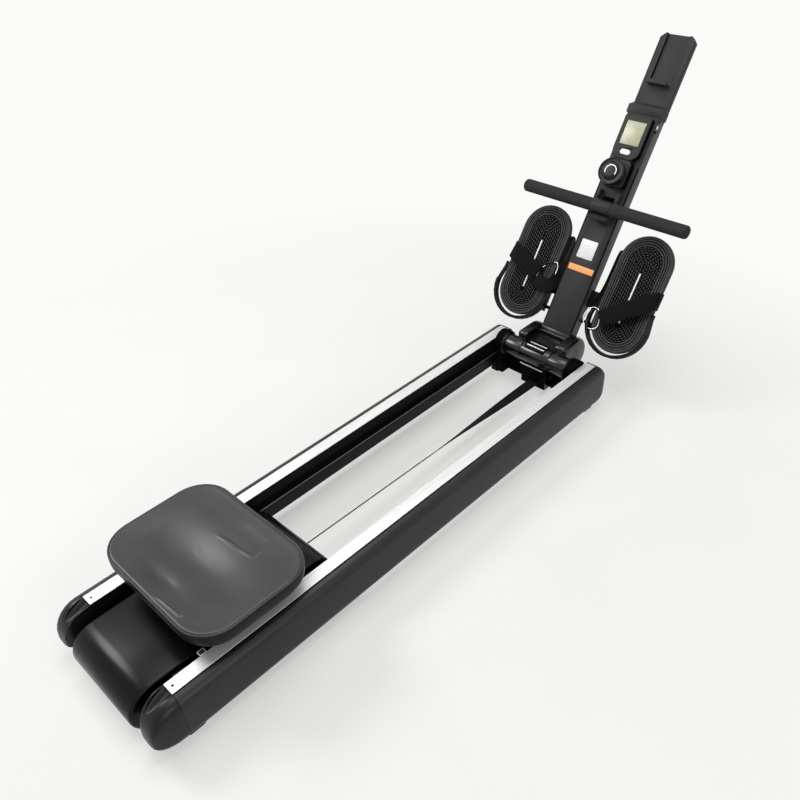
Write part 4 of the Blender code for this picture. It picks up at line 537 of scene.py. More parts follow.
# Where a node has faces painted black as painted shade, the rule that picks them
PAINTED_SHADE_FACES = {"left_rail_beam": above_ledge, "right_rail_beam": above_ledge, "strap_pulley_cover": low_at_rear,
          "console_housing": right_side, "knob_base": right_side, "column_cover": right_side,
          "phone_rest": inside_left_wall}


def dress_kept_nodes():
    """CAD nodes that show as they are, in their real finishes."""
    for finish, nodes in KEPT.items():
        for node in nodes:
            piece = frame["nodes"][node]
            piece.data.materials.clear()
            piece.data.materials.append(FINISHES[finish])


def dress_shaped_nodes():
    """CAD nodes that keep their shape but get rounded edges and their real finishes."""
    pairs = [(node, finish, edge) for word, finish, edge in PAIRS for node in both(word)]
    for node, finish, edge in pairs + SINGLES:
        piece = merged_copy(node, node + "_finished")
        if edge:
            round_edges(piece, edge * MM)
        smooth(piece)
        dress(piece, finish, node)
        if node in PAINTED_SHADE_FACES:
            # Faces in shade get the near-black finish as painted shade.
            second_finish(piece, "bridge", PAINTED_SHADE_FACES[node])
        if node == "phone_rest":
            # The rest's flange ends at the column's right side.
            for vertex in piece.data.vertices:
                vertex.co.y = max(vertex.co.y, -REST_SIDE)


def make_webbing_straps():
    """The wide straps over the foot pads, with the soft edges of woven webbing."""
    for node in both("foot_strap"):
        piece = merged_copy(node, node + "_finished")
        round_edges(piece, 0.5 * MM, 2, 50)
        smooth(piece, 60)
        dress(piece, "webbing", node)


# The seat


def fade(value, start, stop):
    """A share that grows softly from 0 at the start to 1 at the stop."""
    share = min(max((value - start) / (stop - start), 0.0), 1.0)
    return share * share * (3 - 2 * share)


def bowl(x, y, reach_x, reach_y):
    """A round hollow's share of its depth, at a place about its middle."""
    return exp(-(x / reach_x) ** 2 - (y / reach_y) ** 2)


def near_path(x, y, path):
    """Distance from a place to a crease, and the crease's strength there."""
    best = (1000, 0)
    for near, far in zip(path, path[1:]):
        along = (far[0] - near[0], far[1] - near[1])
        share = ((x - near[0]) * along[0] + (y - near[1]) * along[1]) / (along[0] ** 2 + along[1] ** 2)
        share = min(max(share, 0), 1)
        away = hypot(x - near[0] - along[0] * share, y - near[1] - along[1] * share)
        best = min(best, (away, near[2] + (far[2] - near[2]) * share))
    return best


# In millimetres about the seat's centre: how far the skin lies under its rim, and its two hollows with
# their depth, middle, and reach in x and in y
RIM_DROP = 2
HOLLOWS = [(15, -22, 8, 52, 104), (14, -105, -2, 38, 50)]
# The two panels inside the creases: depth, where each fades in and out in x, its middle in y, where it
# fades out to both sides of that, and where it fades out towards the left
PANELS = [(1.6, (48, 58), (92, 116), 0, (62, 76), (-10, 40)),
          (1.2, (-119, -112), (-98, -80), -20, (66, 76), (-50, 0))]
# The two pinched creases as (x, y, strength)
CREASES = [[(44, 28, 0), (47, 5, 0.5), (51, -33, 1), (55, -72, 1), (60, -77, 0.8), (99, -69, 0)],
           [(-121, -14, 0), (-118, -35, 0.7), (-115, -88, 1), (-111, -91, 0.8), (-92, -86, 0)]]
CREASE_HEIGHT = 2.6
CREASE_WIDTH = 2.4
# The seat's section from its underside to its rim: how far inside the outline, and how high
SEAT_SECTION = [(60, 0.4), (12, 0.4), (6, 0.5), (3, 1.2), (1.4, 3), (0.6, 7), (0.1, 14), (0, 20), (0.2, 25),
                (0.5, 27.8), (1.1, 29), (2, 29.3), (2.8, 28.9), (3.2, 28), (3.9, 27.8), (4.6, 28.8),
                (6.2, 29.8), (9, 30), (14, 29.4), (19, 28.9)]
# The skin inside the rim: its first ring, its height, and how many rings lie how far apart
SKIN_START = 24
SKIN_HEIGHT = 28.7
SKIN_RINGS = 23
SKIN_STEP = 4.5
LEAST_CORNER = 6 * MM
# The skin sinks above this height, and its sinking fades in between these distances from the edge
SINK_ABOVE = 25 * MM
SINK_FADE = (9, 56)
SKIRT_TOP = 27.5 * MM


def seat_dip(x, y):
    """How far the seat's skin sinks below its rim, in millimetres about its centre."""
    dip = RIM_DROP
    for depth, middle_x, middle_y, reach_x, reach_y in HOLLOWS:
        dip += depth * bowl(x - middle_x, y - middle_y, reach_x, reach_y)
    for depth, rear, front, middle, sides, left in PANELS:
        share = fade(x, *rear) * (1 - fade(x, *front)) * (1 - fade(abs(y - middle), *sides))
        share *= 1 - fade(y, *left)
        dip += depth * share
    return dip


def crease_rise(x, y):
    """How far a pinched crease lifts the skin, in millimetres about the seat's centre."""
    rise = 0
    for path in CREASES:
        away, strength = near_path(x, y, path)
        rise = max(rise, CREASE_HEIGHT * strength * exp(-(away / CREASE_WIDTH) ** 2))
    return rise


def seat_ring(inset, height):
    """The seat's outline, drawn in by some distance, at a height over its underside."""
    corner = max(SEAT_CORNER - inset, LEAST_CORNER)
    outline = rounded_outline(SEAT_LENGTH / 2 - inset, SEAT_WIDTH / 2 - inset, corner, 11, 18)
    return [(SEAT_CENTRE + x, y, SEAT_LOW + height) for x, y in outline]


def on_skirt(middle, normal):
    """The seat's side and underside below the bead round its rim, which get a darker copy of the skin as
    painted shade.
    """
    return normal.z < 0.3 and middle.z < SEAT_LOW + SKIRT_TOP


def make_seat():
    """The moulded seat: a bulging skirt, a bead round the rim and two shallow hollows."""
    rings = [seat_ring(inset * MM, height * MM) for inset, height in SEAT_SECTION]
    rings += [seat_ring((SKIN_START + SKIN_STEP * step) * MM, SKIN_HEIGHT * MM)
              for step in range(SKIN_RINGS)]
    seat = stack("seat_pad_finished", rings)
    subdivide(seat, 2)
    for vertex in seat.data.vertices:
        if vertex.co.z > SEAT_LOW + SINK_ABOVE:
            x = (vertex.co.x - SEAT_CENTRE) / MM
            y = vertex.co.y / MM
            # The reach past the corners' middles tells how near the edge is, round the corners too.
            past_x = abs(x) - (SEAT_LENGTH / 2 - SEAT_CORNER) / MM
            past_y = abs(y) - (SEAT_WIDTH / 2 - SEAT_CORNER) / MM
            reach = hypot(max(past_x, 0), max(past_y, 0)) + min(max(past_x, past_y), 0)
            sunk = seat_dip(x, y) * fade(SEAT_CORNER / MM - reach, *SINK_FADE)
            vertex.co.z += (crease_rise(x, y) - sunk) * MM
    smooth(seat, 60)
    dress(seat, "seat", "seat_pad")
    # The side and underside get a darker copy of the skin as painted shade.
    second_finish(seat, "skirt", on_skirt)


# The handlebar's foam grips

GRIP_RADIUS = 17 * MM
# How far a grip is rounded at its free end and at the collar, and in how many steps
FREE_END = (8 * MM, 6)
COLLAR_END = (1.2 * MM, 2)


def make_grips():
    """Foam sleeves: a straight tube with a soft round end."""
    for side, word in SIDES:
        node = word + "_grip"
        low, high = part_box(node)
        bpy.ops.object.select_all(action="DESELECT")
        bpy.ops.mesh.primitive_cylinder_add(vertices=48, radius=GRIP_RADIUS, depth=high.y - low.y,
                                            location=(low + high) / 2, rotation=(pi / 2, 0, 0))
        grip = take_new(node + "_finished")
        open_edit(grip)
        for way, (edge, steps) in ((side, FREE_END), (-side, COLLAR_END)):
            choose_faces(grip, (0, way, 0))
            bpy.ops.mesh.bevel(offset=edge, segments=steps, affect="EDGES")
        close_edit()
        smooth(grip, 50)
        dress(grip, "foam", node)


# The footrests


def pedal_place(side):
    """Where a foot pad's own frame stands: on the column's side, leaning a little back."""
    lean = Matrix.Rotation(PEDAL_LEAN, 4, "Y")
    return COLUMN @ Matrix.Translation((PEDAL_BACK, side * PEDAL_SIDE, PEDAL_UP)) @ lean


def oval(length, width, steps=24):
    """An outline with straight sides and half-round ends, as (y, z) about its middle."""
    half = width / 2
    straight = length / 2 - half
    return arc(0, straight, half, 0, 180, steps) + arc(0, -straight, half, 180, 360, steps)


def walk(outline, spacing, shift):
    """Evenly spaced places round a closed outline, each with its direction."""
    places = []
    left = spacing * shift
    for near, far in zip(outline, outline[1:] + outline[:1]):
        span = hypot(far[0] - near[0], far[1] - near[1])
        while left < span:
            share = left / span
            places.append((near[0] + (far[0] - near[0]) * share, near[1] + (far[1] - near[1]) * share,
                           atan2(far[1] - near[1], far[0] - near[0])))
            left += spacing
        left -= span
    return places


# The pad's section from its back to its ribbed face: how far inside the outline, and how deep
PAD_SECTION = [(3, 16), (1, 15.4), (0.1, 14), (0, 3.6), (0.5, 1.8), (1.6, 0.6), (3.4, 0.1), (8, 0)]
# One rib's section, from which distance on the ribs lie, their pitch and their number
RIB_SECTION = [(0.5, 1.8), (2.1, 1.8), (2.6, 0.2), (3.2, 0), (6.0, 0), (6.5, 0.2)]
RIBS_START = 7
RIB_PITCH = 6.6
RIBS = 3
# The field inside the ribs, its depth and the width of its sloped edge
FIELD_DEPTH = 2.2
FIELD_EDGE = 0.6
# The rows of short bars on the field: how far in they start, from row to row, and from bar to bar
ROWS_START = 4
ROW_PITCH = 6.4
BAR_PITCH = 9.6
# Where each row's first bar lies, the shift of every second row, both in pitches, and the last row's room
FIRST_BAR = 0.1
ROW_SHIFT = 0.5
LAST_ROW = 3 * MM
# A bar's half length, half width, corner radius and section
BAR_HALF = (3.3, 1.5)
BAR_CORNER = 0.6
BAR_SECTION = [(0, FIELD_DEPTH), (0.15, 0.2), (0.5, -0.1)]
# The pale slot's length, width and drop, the room that the bars leave it, and the depths it fills
SLOT_LENGTH = 137 * MM
SLOT_WIDTH = 3.4 * MM
SLOT_DROP = 10 * MM
SLOT_ROOM = 4 * MM
SLOT_ENDS = (-92 * MM, 72 * MM)
SLOT_DEPTHS = (-0.4 * MM, PAD_THICK - 1 * MM)
# Between which depths, and how far inside the outline, a face lies in a groove, which is painted near black
# as painted shade
GROOVE_DEPTHS = (0.5 * MM, 3 * MM)
GROOVE_EDGE = 6 * MM


def make_foot_pads():
    """Rubber foot pads: rounded ribs round the edge and rows of short bars inside them."""
    long, wide = BAR_HALF
    bar = stack("grip_bar", [[(depth * MM, y, z) for y, z in
                              rounded_outline((long - inset) * MM, (wide - inset) * MM, BAR_CORNER * MM, 1)]
                             for inset, depth in BAR_SECTION])
    for side, word in SIDES:
        make_foot_pad(side, word, bar)
    bpy.data.objects.remove(bar)


def add_bars(work, bar, start):
    """Copies of the short bar in rows round the field, each second row shifted, none on the slot."""
    row = 0
    inset = start
    while PAD_WIDTH / 2 - inset > LAST_ROW:
        path = oval(PAD_LENGTH - 2 * inset, PAD_WIDTH - 2 * inset, 12)
        for y, z, turn in walk(path, BAR_PITCH * MM, ROW_SHIFT * (row % 2) + FIRST_BAR):
            on_slot = abs(y) < SLOT_ROOM and SLOT_ENDS[0] < z < SLOT_ENDS[1]
            if not on_slot:
                first = len(work.verts)
                work.from_mesh(bar.data)
                work.verts.ensure_lookup_table()
                place = Matrix.Translation((0, y, z)) @ Matrix.Rotation(turn, 4, "X")
                bmesh.ops.transform(work, matrix=place, verts=work.verts[first:])
        inset += ROW_PITCH * MM
        row += 1


def in_groove(place):
    """Whether a place in the pad's own frame lies between its ribs or bars, where painted shade goes."""
    beyond = max(abs(place.z) - (PAD_LENGTH - PAD_WIDTH) / 2, 0)
    return (GROOVE_DEPTHS[0] < place.x < GROOVE_DEPTHS[1]
            and hypot(place.y, beyond) < PAD_WIDTH / 2 - GROOVE_EDGE)


def make_foot_pad(side, word, bar):
    """One foot pad with its ribs, its bars and the pale slot in its middle."""
    section = list(PAD_SECTION)
    for rib in range(RIBS):
        section += [(RIBS_START + RIB_PITCH * rib + inset, depth) for inset, depth in RIB_SECTION]
    last = RIBS_START + RIB_PITCH * RIBS
    section.append((last + FIELD_EDGE, FIELD_DEPTH))
    rings = [[(depth * MM, y, z)
              for y, z in oval(PAD_LENGTH - 2 * inset * MM, PAD_WIDTH - 2 * inset * MM)]
             for inset, depth in section]
    pad = stack(word + "_foot_pad_finished", rings)
    smooth(pad, 50)
    work = bmesh.new()
    work.from_mesh(pad.data)
    add_bars(work, bar, (last + ROWS_START) * MM)
    work.to_mesh(pad.data)
    work.free()
    place = pedal_place(side)
    pad.data.transform(place)
    dress(pad, "pad", word + "_foot_pad")
    back = place.inverted()
    # The grooves between ribs and bars are painted near black as painted shade.
    second_finish(pad, "groove", lambda middle, normal: in_groove(back @ middle))
    outline = [(y, z - SLOT_DROP) for y, z in oval(SLOT_LENGTH, SLOT_WIDTH, 6)]
    slot = slab(word + "_slot_bar", outline, *SLOT_DEPTHS, 0.4 * MM, place)
    dress(slot, "button", body="column")


# A band's section: its sides, and the share of its width that is flat
BAND_SIDES = 6
BAND_FLAT = 0.96


def make_band(name, stops, width, thick, place):
    """A flat strap through stops of (centre, width direction), swept as a closed mesh and smoothed."""
    work = bmesh.new()
    rows = []
    for index, (centre, across) in enumerate(stops):
        centre = Vector(centre)
        ahead = Vector(stops[min(index + 1, len(stops) - 1)][0]) - Vector(stops[max(index - 1, 0)][0])
        across = Vector(across).normalized()
        face = across.cross(ahead).normalized() * thick / 2
        half = across * width / 2
        inner = half * BAND_FLAT
        ring = [centre + half, centre + inner + face, centre - inner + face, centre - half,
                centre - inner - face, centre + inner - face]
        rows.append([work.verts.new(point) for point in ring])
    for near, far in zip(rows, rows[1:]):
        for index in range(BAND_SIDES):
            after = (index + 1) % BAND_SIDES
            work.faces.new((near[index], near[after], far[after], far[index]))
    work.faces.new(rows[0])
    work.faces.new(rows[-1])
    bmesh.ops.recalc_face_normals(work, faces=work.faces[:])
    mesh = bpy.data.meshes.new(name)
    work.to_mesh(mesh)
    work.free()
    mesh.transform(place)
    piece = bpy.data.objects.new(name, mesh)
    bpy.context.scene.collection.objects.link(piece)
    subdivide(piece, 2)
    smooth(piece, 60)
    return piece


# The rings' corners: depth, distance outwards and height on the pedal
RINGS = {"left": [(-5.5, -27, -58), (-5.5, -35, -8), (-5, -72, 18), (-4, -82, 4), (-4, -82, -24),
                  (-5, -64, -48)],
         "right": [(-5.5, -60, -62), (-5.5, -45, -106), (-6, -62, -120), (-6, -84, -117), (-6, -97, -99),
                   (-6, -97, -78), (-6, -84, -62)]}
RING_WIRE = 1.35 * MM
WIRE_SIDES = 10
# How often a ring's corners are cut, and where on its sides
RING_CUTS = 3
CUT_SHARES = (0.25, 0.75)
# The painted shade on the left ring's upper side, under the inner strap: how low and how far out it reaches,
# on the pedal
SHADED_TOP_LOW = -4 * MM
SHADED_TOP_OUT = -68 * MM


def ring_top_in_painted_shade(middle, normal):
    """The left ring's upper side, painted in the webbing's black as painted shade under the inner strap."""
    inside = pedal_place(1).inverted() @ middle
    return inside.z > SHADED_TOP_LOW and inside.y > SHADED_TOP_OUT


def make_rings():
    """Chromed wire rings: a torus laid round a closed path whose corners are rounded."""
    for side, word in SIDES:
        path = [Vector((x, side * y, z)) * MM for x, y, z in RINGS[word]]
        for cut in range(RING_CUTS):
            runs = list(zip(path, path[1:] + path[:1]))
            path = [near.lerp(far, share) for near, far in runs for share in CUT_SHARES]
        bpy.ops.object.select_all(action="DESELECT")
        bpy.ops.mesh.primitive_torus_add(major_segments=len(path), minor_segments=WIRE_SIDES)
        ring = take_new(word + "_strap_ring_finished")
        for index, vertex in enumerate(ring.data.vertices):
            stop, turn = divmod(index, WIRE_SIDES)
            ahead = (path[(stop + 1) % len(path)] - path[stop - 1]).normalized()
            out = Vector((1, 0, 0))
            beside = ahead.cross(out)
            turn *= 2 * pi / WIRE_SIDES
            vertex.co = path[stop] + (out * cos(turn) + beside * sin(turn)) * RING_WIRE
        open_edit(ring)
        bpy.ops.mesh.select_all(action="SELECT")
        bpy.ops.mesh.normals_make_consistent(inside=False)
        close_edit()
        ring.data.transform(pedal_place(side))
        smooth(ring, 60)
        dress(ring, "chrome", word + "_strap_ring")
        # The left ring's upper side is painted black as painted shade.
        if side > 0:
            second_finish(ring, "webbing", ring_top_in_painted_shade)


# The long strap's run: where it leaves the drum, the front pulley's middle and where it ends at the fold
RUN_START = Vector((-571.6, -15.55, 70)) * MM
RUN_END = Vector((402.4, 0, 33.45)) * MM
PULLEY_MIDDLE = Vector((402.4, 0, 52.5)) * MM
RUN_TOP = Vector((434.6, 0, 85.6)) * MM
STRAP_WIDTH = 32 * MM
STRAP_WEB = 2.2 * MM
RUN_STOPS = 40
# The strap's lean in degrees from upright, and over which shares of its run it leans and then lies flat
RUN_LEAN = 36
LEANING = (0, 0.12)
LYING_DOWN = (0.5, 0.98)
# The degrees round the pulley at which the strap touches it
PULLEY_TURNS = range(-90, -32, 10)


def make_pull_strap():
    """The flat strap between the rails: it leans early, runs slack, and lies flat at the fold."""
    stops = []
    for step in range(RUN_STOPS):
        share = step / RUN_STOPS
        lean = radians(RUN_LEAN * fade(share, *LEANING) + (90 - RUN_LEAN) * fade(share, *LYING_DOWN))
        stops.append((RUN_START.lerp(RUN_END, share), (0, -sin(lean), cos(lean))))
    reach = (PULLEY_MIDDLE - RUN_END).length
    for turn in PULLEY_TURNS:
        out = Vector((cos(radians(turn)), 0, sin(radians(turn))))
        stops.append((PULLEY_MIDDLE + out * reach, (0, -1, 0)))
    stops.append((RUN_TOP, (0, -1, 0)))
    strap = make_band("lower_pull_strap_finished", stops, STRAP_WIDTH, STRAP_WEB, Matrix())
    dress(strap, "pull", "lower_pull_strap")


# Where the inner straps run: depth, distance outwards and height on the pedal, and how far the band
# has turned from standing on its edge to lying flat
INNER_STRAPS = {
    "left": [(21, -77, 98, 0), (21, -77, 70, 0), (20, -78, 40, 0), (17, -80, 12, 4), (9, -86, -14, 20),
             (-3, -91, -36, 50), (-11, -83, -51, 80), (-13, -64, -55, 90), (-10, -44, -51, 90),
             (-8, -28, -46, 90)],
    "right": [(14, -76.6, 104, 0), (14, -76.6, 65, 0), (13, -76.8, 25, 0), (11, -77, -12, 0),
              (6, -78, -36, 8), (0, -81, -54, 22), (-5, -83, -66, 36)]}
INNER_WIDTH = 40 * MM
INNER_WEB = 2.2 * MM


def make_inner_straps():
    """The strap's other half: a slack loop from the pad's inner side down to the metal ring."""
    for side, word in SIDES:
        path = [(Vector((x, side * y, z)) * MM, radians(turn)) for x, y, z, turn in INNER_STRAPS[word]]
        stops = []
        for index, (centre, turn) in enumerate(path):
            ahead = path[min(index + 1, len(path) - 1)][0] - path[max(index - 1, 0)][0]
            flat = ahead.cross(Vector((1, 0, 0))).normalized()
            stops.append((centre, Vector((1, 0, 0)) * cos(turn) + flat * sin(turn)))
        strap = make_band(word + "_inner_strap", stops, INNER_WIDTH, INNER_WEB, pedal_place(side))
        dress(strap, "webbing", body="column")


# The painted shade lines beside the column's cover, in millimetres: their distance out, middle and half
# sizes
SHADE_LINE_SIDE = 44
SHADE_LINE_UP = 312
SHADE_LINE_HALF = (1.5, 226)
# The painted highlights along the ledges' edges: where they start and end, how far under the ledge's top,
# and half sizes
LEDGE_ENDS = (-560 * MM, 420 * MM)
LEDGE_DROP = 0.8 * MM
LEDGE_HALF = (0.5 * MM, 0.7 * MM)
LINE_CORNER = 0.3


def make_lines():
    """Thin lines: painted shade beside the column's cover and painted highlights along the ledges' edges."""
    for side, word in SIDES:
        # Near-black lines beside the cover are painted shade at its edges.
        face_piece(word + "_cover_edge_shade", "groove", (side * SHADE_LINE_SIDE, SHADE_LINE_UP), SHADE_LINE_HALF, LINE_CORNER,
                   (0, -0.4), 0, 1)
        outline = [(side * LEDGE_EDGE + y, LEDGE_TOP - LEDGE_DROP + z)
                   for y, z in rounded_outline(*LEDGE_HALF, LINE_CORNER * MM, 1)]
        # A pale metal strip along each ledge's edge is a painted highlight.
        edge = slab(word + "_ledge_painted_highlight", outline, *LEDGE_ENDS, 0)
        dress(edge, "iron", body="root")


# What is fixed on the column's face, in millimetres: finish, middle, half sizes, corner radius, start and
# end heights off the face, edge radius and steps in each corner
LABELS = {"column_plate": ("plate", (4, 306), (24, 25), 2.5, (-0.5, -0.05), 0.15, 4),
          "column_strip": ("orange", (0, 252.5), (38, 8), 2.5, (-0.5, -0.05), 0.15, 4)}
SHOE = {"column_shoe": ("foot", (0, 71.5), (46.6, 6.5), 1.5, (1.5, -3), 1.2, 3),
        # The grey strip under the shoe is a painted highlight along the column's foot.
        "column_shoe_painted_highlight": ("nylon", (0, 65.6), (45, 0.8), 0.6, (-2.4, -3.6), 0.2, 3)}


def make_labels():
    """A bare plate and a plain orange strip on the column's face."""
    for name, sizes in LABELS.items():
        face_piece(name, *sizes)


# The knob's section from the column outwards: radius taken off, height, and how deep its lobes are
KNOB_SECTION = [(5.6, 0, 1), (5.4, 9, 1), (5, 10, 1), (2, 11, 1.4), (1.4, 12.5, 2.2), (1, 24, 2.2),
                (0.6, 26, 1.2), (0.2, 27.4, 0.3), (0, 28.4, 0), (0.6, 29.6, 0), (2, 29.9, 0), (3.2, 29.4, 0),
                (4, 27.6, 0), (10.2, 27.4, 0), (10.8, 28.3, 0), (11.8, 28.7, 0), (24, 28.9, 0)]
KNOB_RADIUS = 34.4
KNOB_LOBES = 14
KNOB_POINTS = 16 * KNOB_LOBES
KNOB_AT = 507.5 * MM
KNOB_BACK = COLUMN_FACE - 23.4 * MM
# The raised arc on the knob's face: its outer and inner radius, its two ends in degrees, and how far its
# top and bottom lie off the knob's back
MARK_OUTER = 16.5 * MM
MARK_INNER = 14 * MM
MARK_ENDS = (-25, 205)
MARK_HEIGHTS = (29.7 * MM, 28 * MM)


def on_knob_side(middle, normal):
    """The knob's lobed side, which doesn't look straight out of the column's face."""
    return normal.dot(TOWARDS_REAR) < 0.7


def make_knob():
    """The tension knob: a lobed grip with a ringed face and a raised arc on it."""
    rings = []
    for inset, height, lobe in KNOB_SECTION:
        ring = []
        for point in range(KNOB_POINTS):
            turn = 2 * pi * point / KNOB_POINTS
            radius = (KNOB_RADIUS - inset - lobe * (0.5 - 0.5 * cos(KNOB_LOBES * turn)) ** 2) * MM
            ring.append((KNOB_BACK - height * MM, radius * cos(turn), KNOB_AT + radius * sin(turn)))
        rings.append(ring)
    knob = stack("tension_knob_finished", rings)
    smooth(knob, 40)
    knob.data.transform(COLUMN)
    dress(knob, "cover", "tension_knob")
    second_finish(knob, "foot", on_knob_side)
    start, end = MARK_ENDS
    outline = arc(0, KNOB_AT, MARK_OUTER, start, end, 30) + arc(0, KNOB_AT, MARK_INNER, end, start, 30)
    top, bottom = MARK_HEIGHTS
    mark = slab("tension_mark", outline, KNOB_BACK - top, KNOB_BACK - bottom, 0, COLUMN)
    dress(mark, "button", body=body_of("tension_knob"))


# The middle of what stands on the hinge, a little left of the machine's own middle
FOLD_MIDDLE = PIVOT + Vector((0, 4 * MM, 0))
# The fold's panel and its two bright bars: finish, degrees about the pin, half sizes, corner radius, outer
# and inner distance from the pin, and edge radius
FOLD_PLATES = {"fold_panel": ("cover", 92, (31, 17), 3, (29.2, 21), 0.8),
               "fold_bar_upper": ("plate", 77, (27, 2.4), 2, (30.6, 28), 0.5),
               "fold_bar_lower": ("plate", 107, (27, 2.4), 2, (30.6, 28), 0.5)}
# The lip under the fold, painted pale as a painted highlight: its middle and half sizes, and how far behind
# the pin it lies
LIP_MIDDLE = (8 * MM, 81 * MM)
LIP_HALF = (37 * MM, 1.4 * MM)
LIP_BEHIND = (18.5 * MM, 15 * MM)
# The rings on the fold's ends: their radius and their distance from the machine's middle
FOLD_RINGS = [(30.2, 97), (32, 100.8)]
FOLD_RING_WIRE = 1.3 * MM


def make_fold_trim():
    """What shows on the fold: a panel with two bright bars, a lip painted pale as a painted highlight,
    ringed discs and the column's shoe.
    """
    for name, (finish, turn, half, corner, (outer, inner), edge) in FOLD_PLATES.items():
        outline = rounded_outline(half[0] * MM, half[1] * MM, corner * MM, 3)
        place = Matrix.Translation(FOLD_MIDDLE) @ Matrix.Rotation(radians(-turn), 4, "Y")
        plate = slab(name, outline, outer * MM, inner * MM, edge * MM, place)
        dress(plate, finish, body="column")
    outline = [(y + LIP_MIDDLE[0], z + LIP_MIDDLE[1]) for y, z in rounded_outline(*LIP_HALF, 1.2 * MM, 3)]
    lip = slab("cover_lip_painted_highlight", outline, PIVOT.x - LIP_BEHIND[0], PIVOT.x - LIP_BEHIND[1], 0.8 * MM)
    # The lip's pale finish is a painted highlight.
    dress(lip, "plate", body="root")
    for side, word in SIDES:
        for number, (radius, out) in enumerate(FOLD_RINGS):
            bpy.ops.object.select_all(action="DESELECT")
            bpy.ops.mesh.primitive_torus_add(major_radius=radius * MM, minor_radius=FOLD_RING_WIRE,
                                             major_segments=64, minor_segments=10,
                                             location=(PIVOT.x, side * out * MM, PIVOT.z),
                                             rotation=(pi / 2, 0, 0))
            ring = take_new(word + "_fold_ring_" + str(number))
            smooth(ring, 60)
            dress(ring, "foot", body="root")
    for name, sizes in SHOE.items():
        face_piece(name, *sizes)


# The latch beside the console: finish, height up the column, and its own height and depth
LATCH = {"side_latch": ("button", 646, 9, 7), "side_catch_low": ("bridge", 634, 4, 9),
         "side_catch_high": ("bridge", 661, 3.5, 6)}
LATCH_BACK = 49 * MM
LATCH_SIDE = 46 * MM
LATCH_WIDE = 3 * MM
# The clip inside the right rail and its inlay: finish, half size and rise
CLIPS = {"rail_clip": ("button", 7.2, 2.4), "rail_clip_inlay": ("red", 5.4, 2.9)}
CLIP_PLACE = (STRIP_REAR + 84 * MM, -121 * MM, 127.5 * MM)
# The block inside the right rail: its middle, its half sizes along and up, and half its width
BLOCK_PLACE = (STRIP_REAR + 44 * MM, -122.5 * MM, 119 * MM)
BLOCK_HALF = (24 * MM, 6 * MM)
BLOCK_DEEP = 3 * MM


def make_small_parts():
    """The little pale latch beside the console, and the clip and block inside the right rail."""
    for name, (finish, up, tall, deep) in LATCH.items():
        bpy.ops.object.select_all(action="DESELECT")
        bpy.ops.mesh.primitive_cube_add(size=1)
        piece = take_new(name)
        size = Matrix.Diagonal((deep * MM, LATCH_WIDE, tall * MM, 1))
        piece.data.transform(COLUMN @ Matrix.Translation((LATCH_BACK, -LATCH_SIDE, up * MM)) @ size)
        round_edges(piece, 0.8 * MM, 2)
        smooth(piece)
        dress(piece, finish, body="column")
    for name, (finish, half, rise) in CLIPS.items():
        outline = rounded_outline((half - 1) * MM, half * MM, 1.5 * MM, 3)
        place = Matrix.Translation(CLIP_PLACE) @ Matrix.Rotation(-pi / 2, 4, "Y")
        clip = slab(name, outline, rise * MM, -2 * MM, 0.5 * MM, place)
        dress(clip, finish, body="root")
    place = Matrix.Translation(BLOCK_PLACE) @ Matrix.Rotation(pi / 2, 4, "Z")
    outline = rounded_outline(*BLOCK_HALF, 2 * MM, 3)
    block = slab("rail_block", outline, BLOCK_DEEP, -BLOCK_DEEP, 1 * MM, place)
    dress(block, "cover", body="root")


# The scoop in each rear cap: half sizes, tilt, and where its middle lies behind the strip and over the rail
SCOOP_HALF = (52 * MM, 13.6 * MM, 10.5 * MM)
SCOOP_TILT = radians(-22)
SCOOP_BEHIND = 5 * MM
SCOOP_OVER = 1 * MM


def make_rear_caps():
    """The rail's rear caps, each with a scoop that carries the strip's line down over the end."""
    for side, word in SIDES:
        cap = merged_copy(word + "_rear_cap", word + "_rear_cap_finished")
        bpy.ops.object.select_all(action="DESELECT")
        bpy.ops.mesh.primitive_uv_sphere_add(segments=48, ring_count=24, radius=1)
        scoop = bpy.context.object
        scoop.scale = SCOOP_HALF
        scoop.rotation_euler = (0, SCOOP_TILT, 0)
        scoop.location = (STRIP_REAR - SCOOP_BEHIND, side * STRIP_MIDDLE, RAIL_TOP + SCOOP_OVER)
        select_only(cap)
        step = cap.modifiers.new("scoop", "BOOLEAN")
        step.operation = "DIFFERENCE"
        step.solver = "EXACT"
        step.object = scoop
        bpy.ops.object.modifier_apply(modifier=step.name)
        bpy.data.objects.remove(scoop)
        round_edges(cap, 1.2 * MM, 3, 30)
        smooth(cap)
        dress(cap, "cap", word + "_rear_cap")


SCREW_RADIUS = 2.6 * MM
SCREW_DEPTH = 2 * MM
# Where a screw's middle lies ahead of the strip's rear end and under the rail's top
SCREW_AHEAD = 10 * MM
SCREW_UNDER = 0.75 * MM
# The head's steps from its edge to its recess in millimetres: inwards, and outwards from the face
HEAD_STEPS = [(0.4, 0.1), (0.7, 0), (0.1, -0.25)]


def make_screws():
    """A small countersunk screw at the rear end of each bright strip."""
    for side, word in SIDES:
        place = (STRIP_REAR + SCREW_AHEAD, side * STRIP_MIDDLE, RAIL_TOP - SCREW_UNDER)
        bpy.ops.object.select_all(action="DESELECT")
        bpy.ops.mesh.primitive_cylinder_add(vertices=24, radius=SCREW_RADIUS, depth=SCREW_DEPTH,
                                            location=place)
        screw = take_new(word + "_strip_screw")
        open_edit(screw)
        choose_faces(screw, (0, 0, 1))
        for inwards, outwards in HEAD_STEPS:
            bpy.ops.mesh.inset(thickness=inwards * MM, depth=outwards * MM, use_boundary=True)
        close_edit()
        smooth(screw)
        dress(screw, "bridge", body="root")


# The studio

# The floor's size in metres, its speckle in millimetres and its white as the camera sees it
FLOOR_SIZE = 40
FLOOR_DROP = 0.5 * MM
SPECKLE = 1000 / 3
PAPER = "#fafbf8"
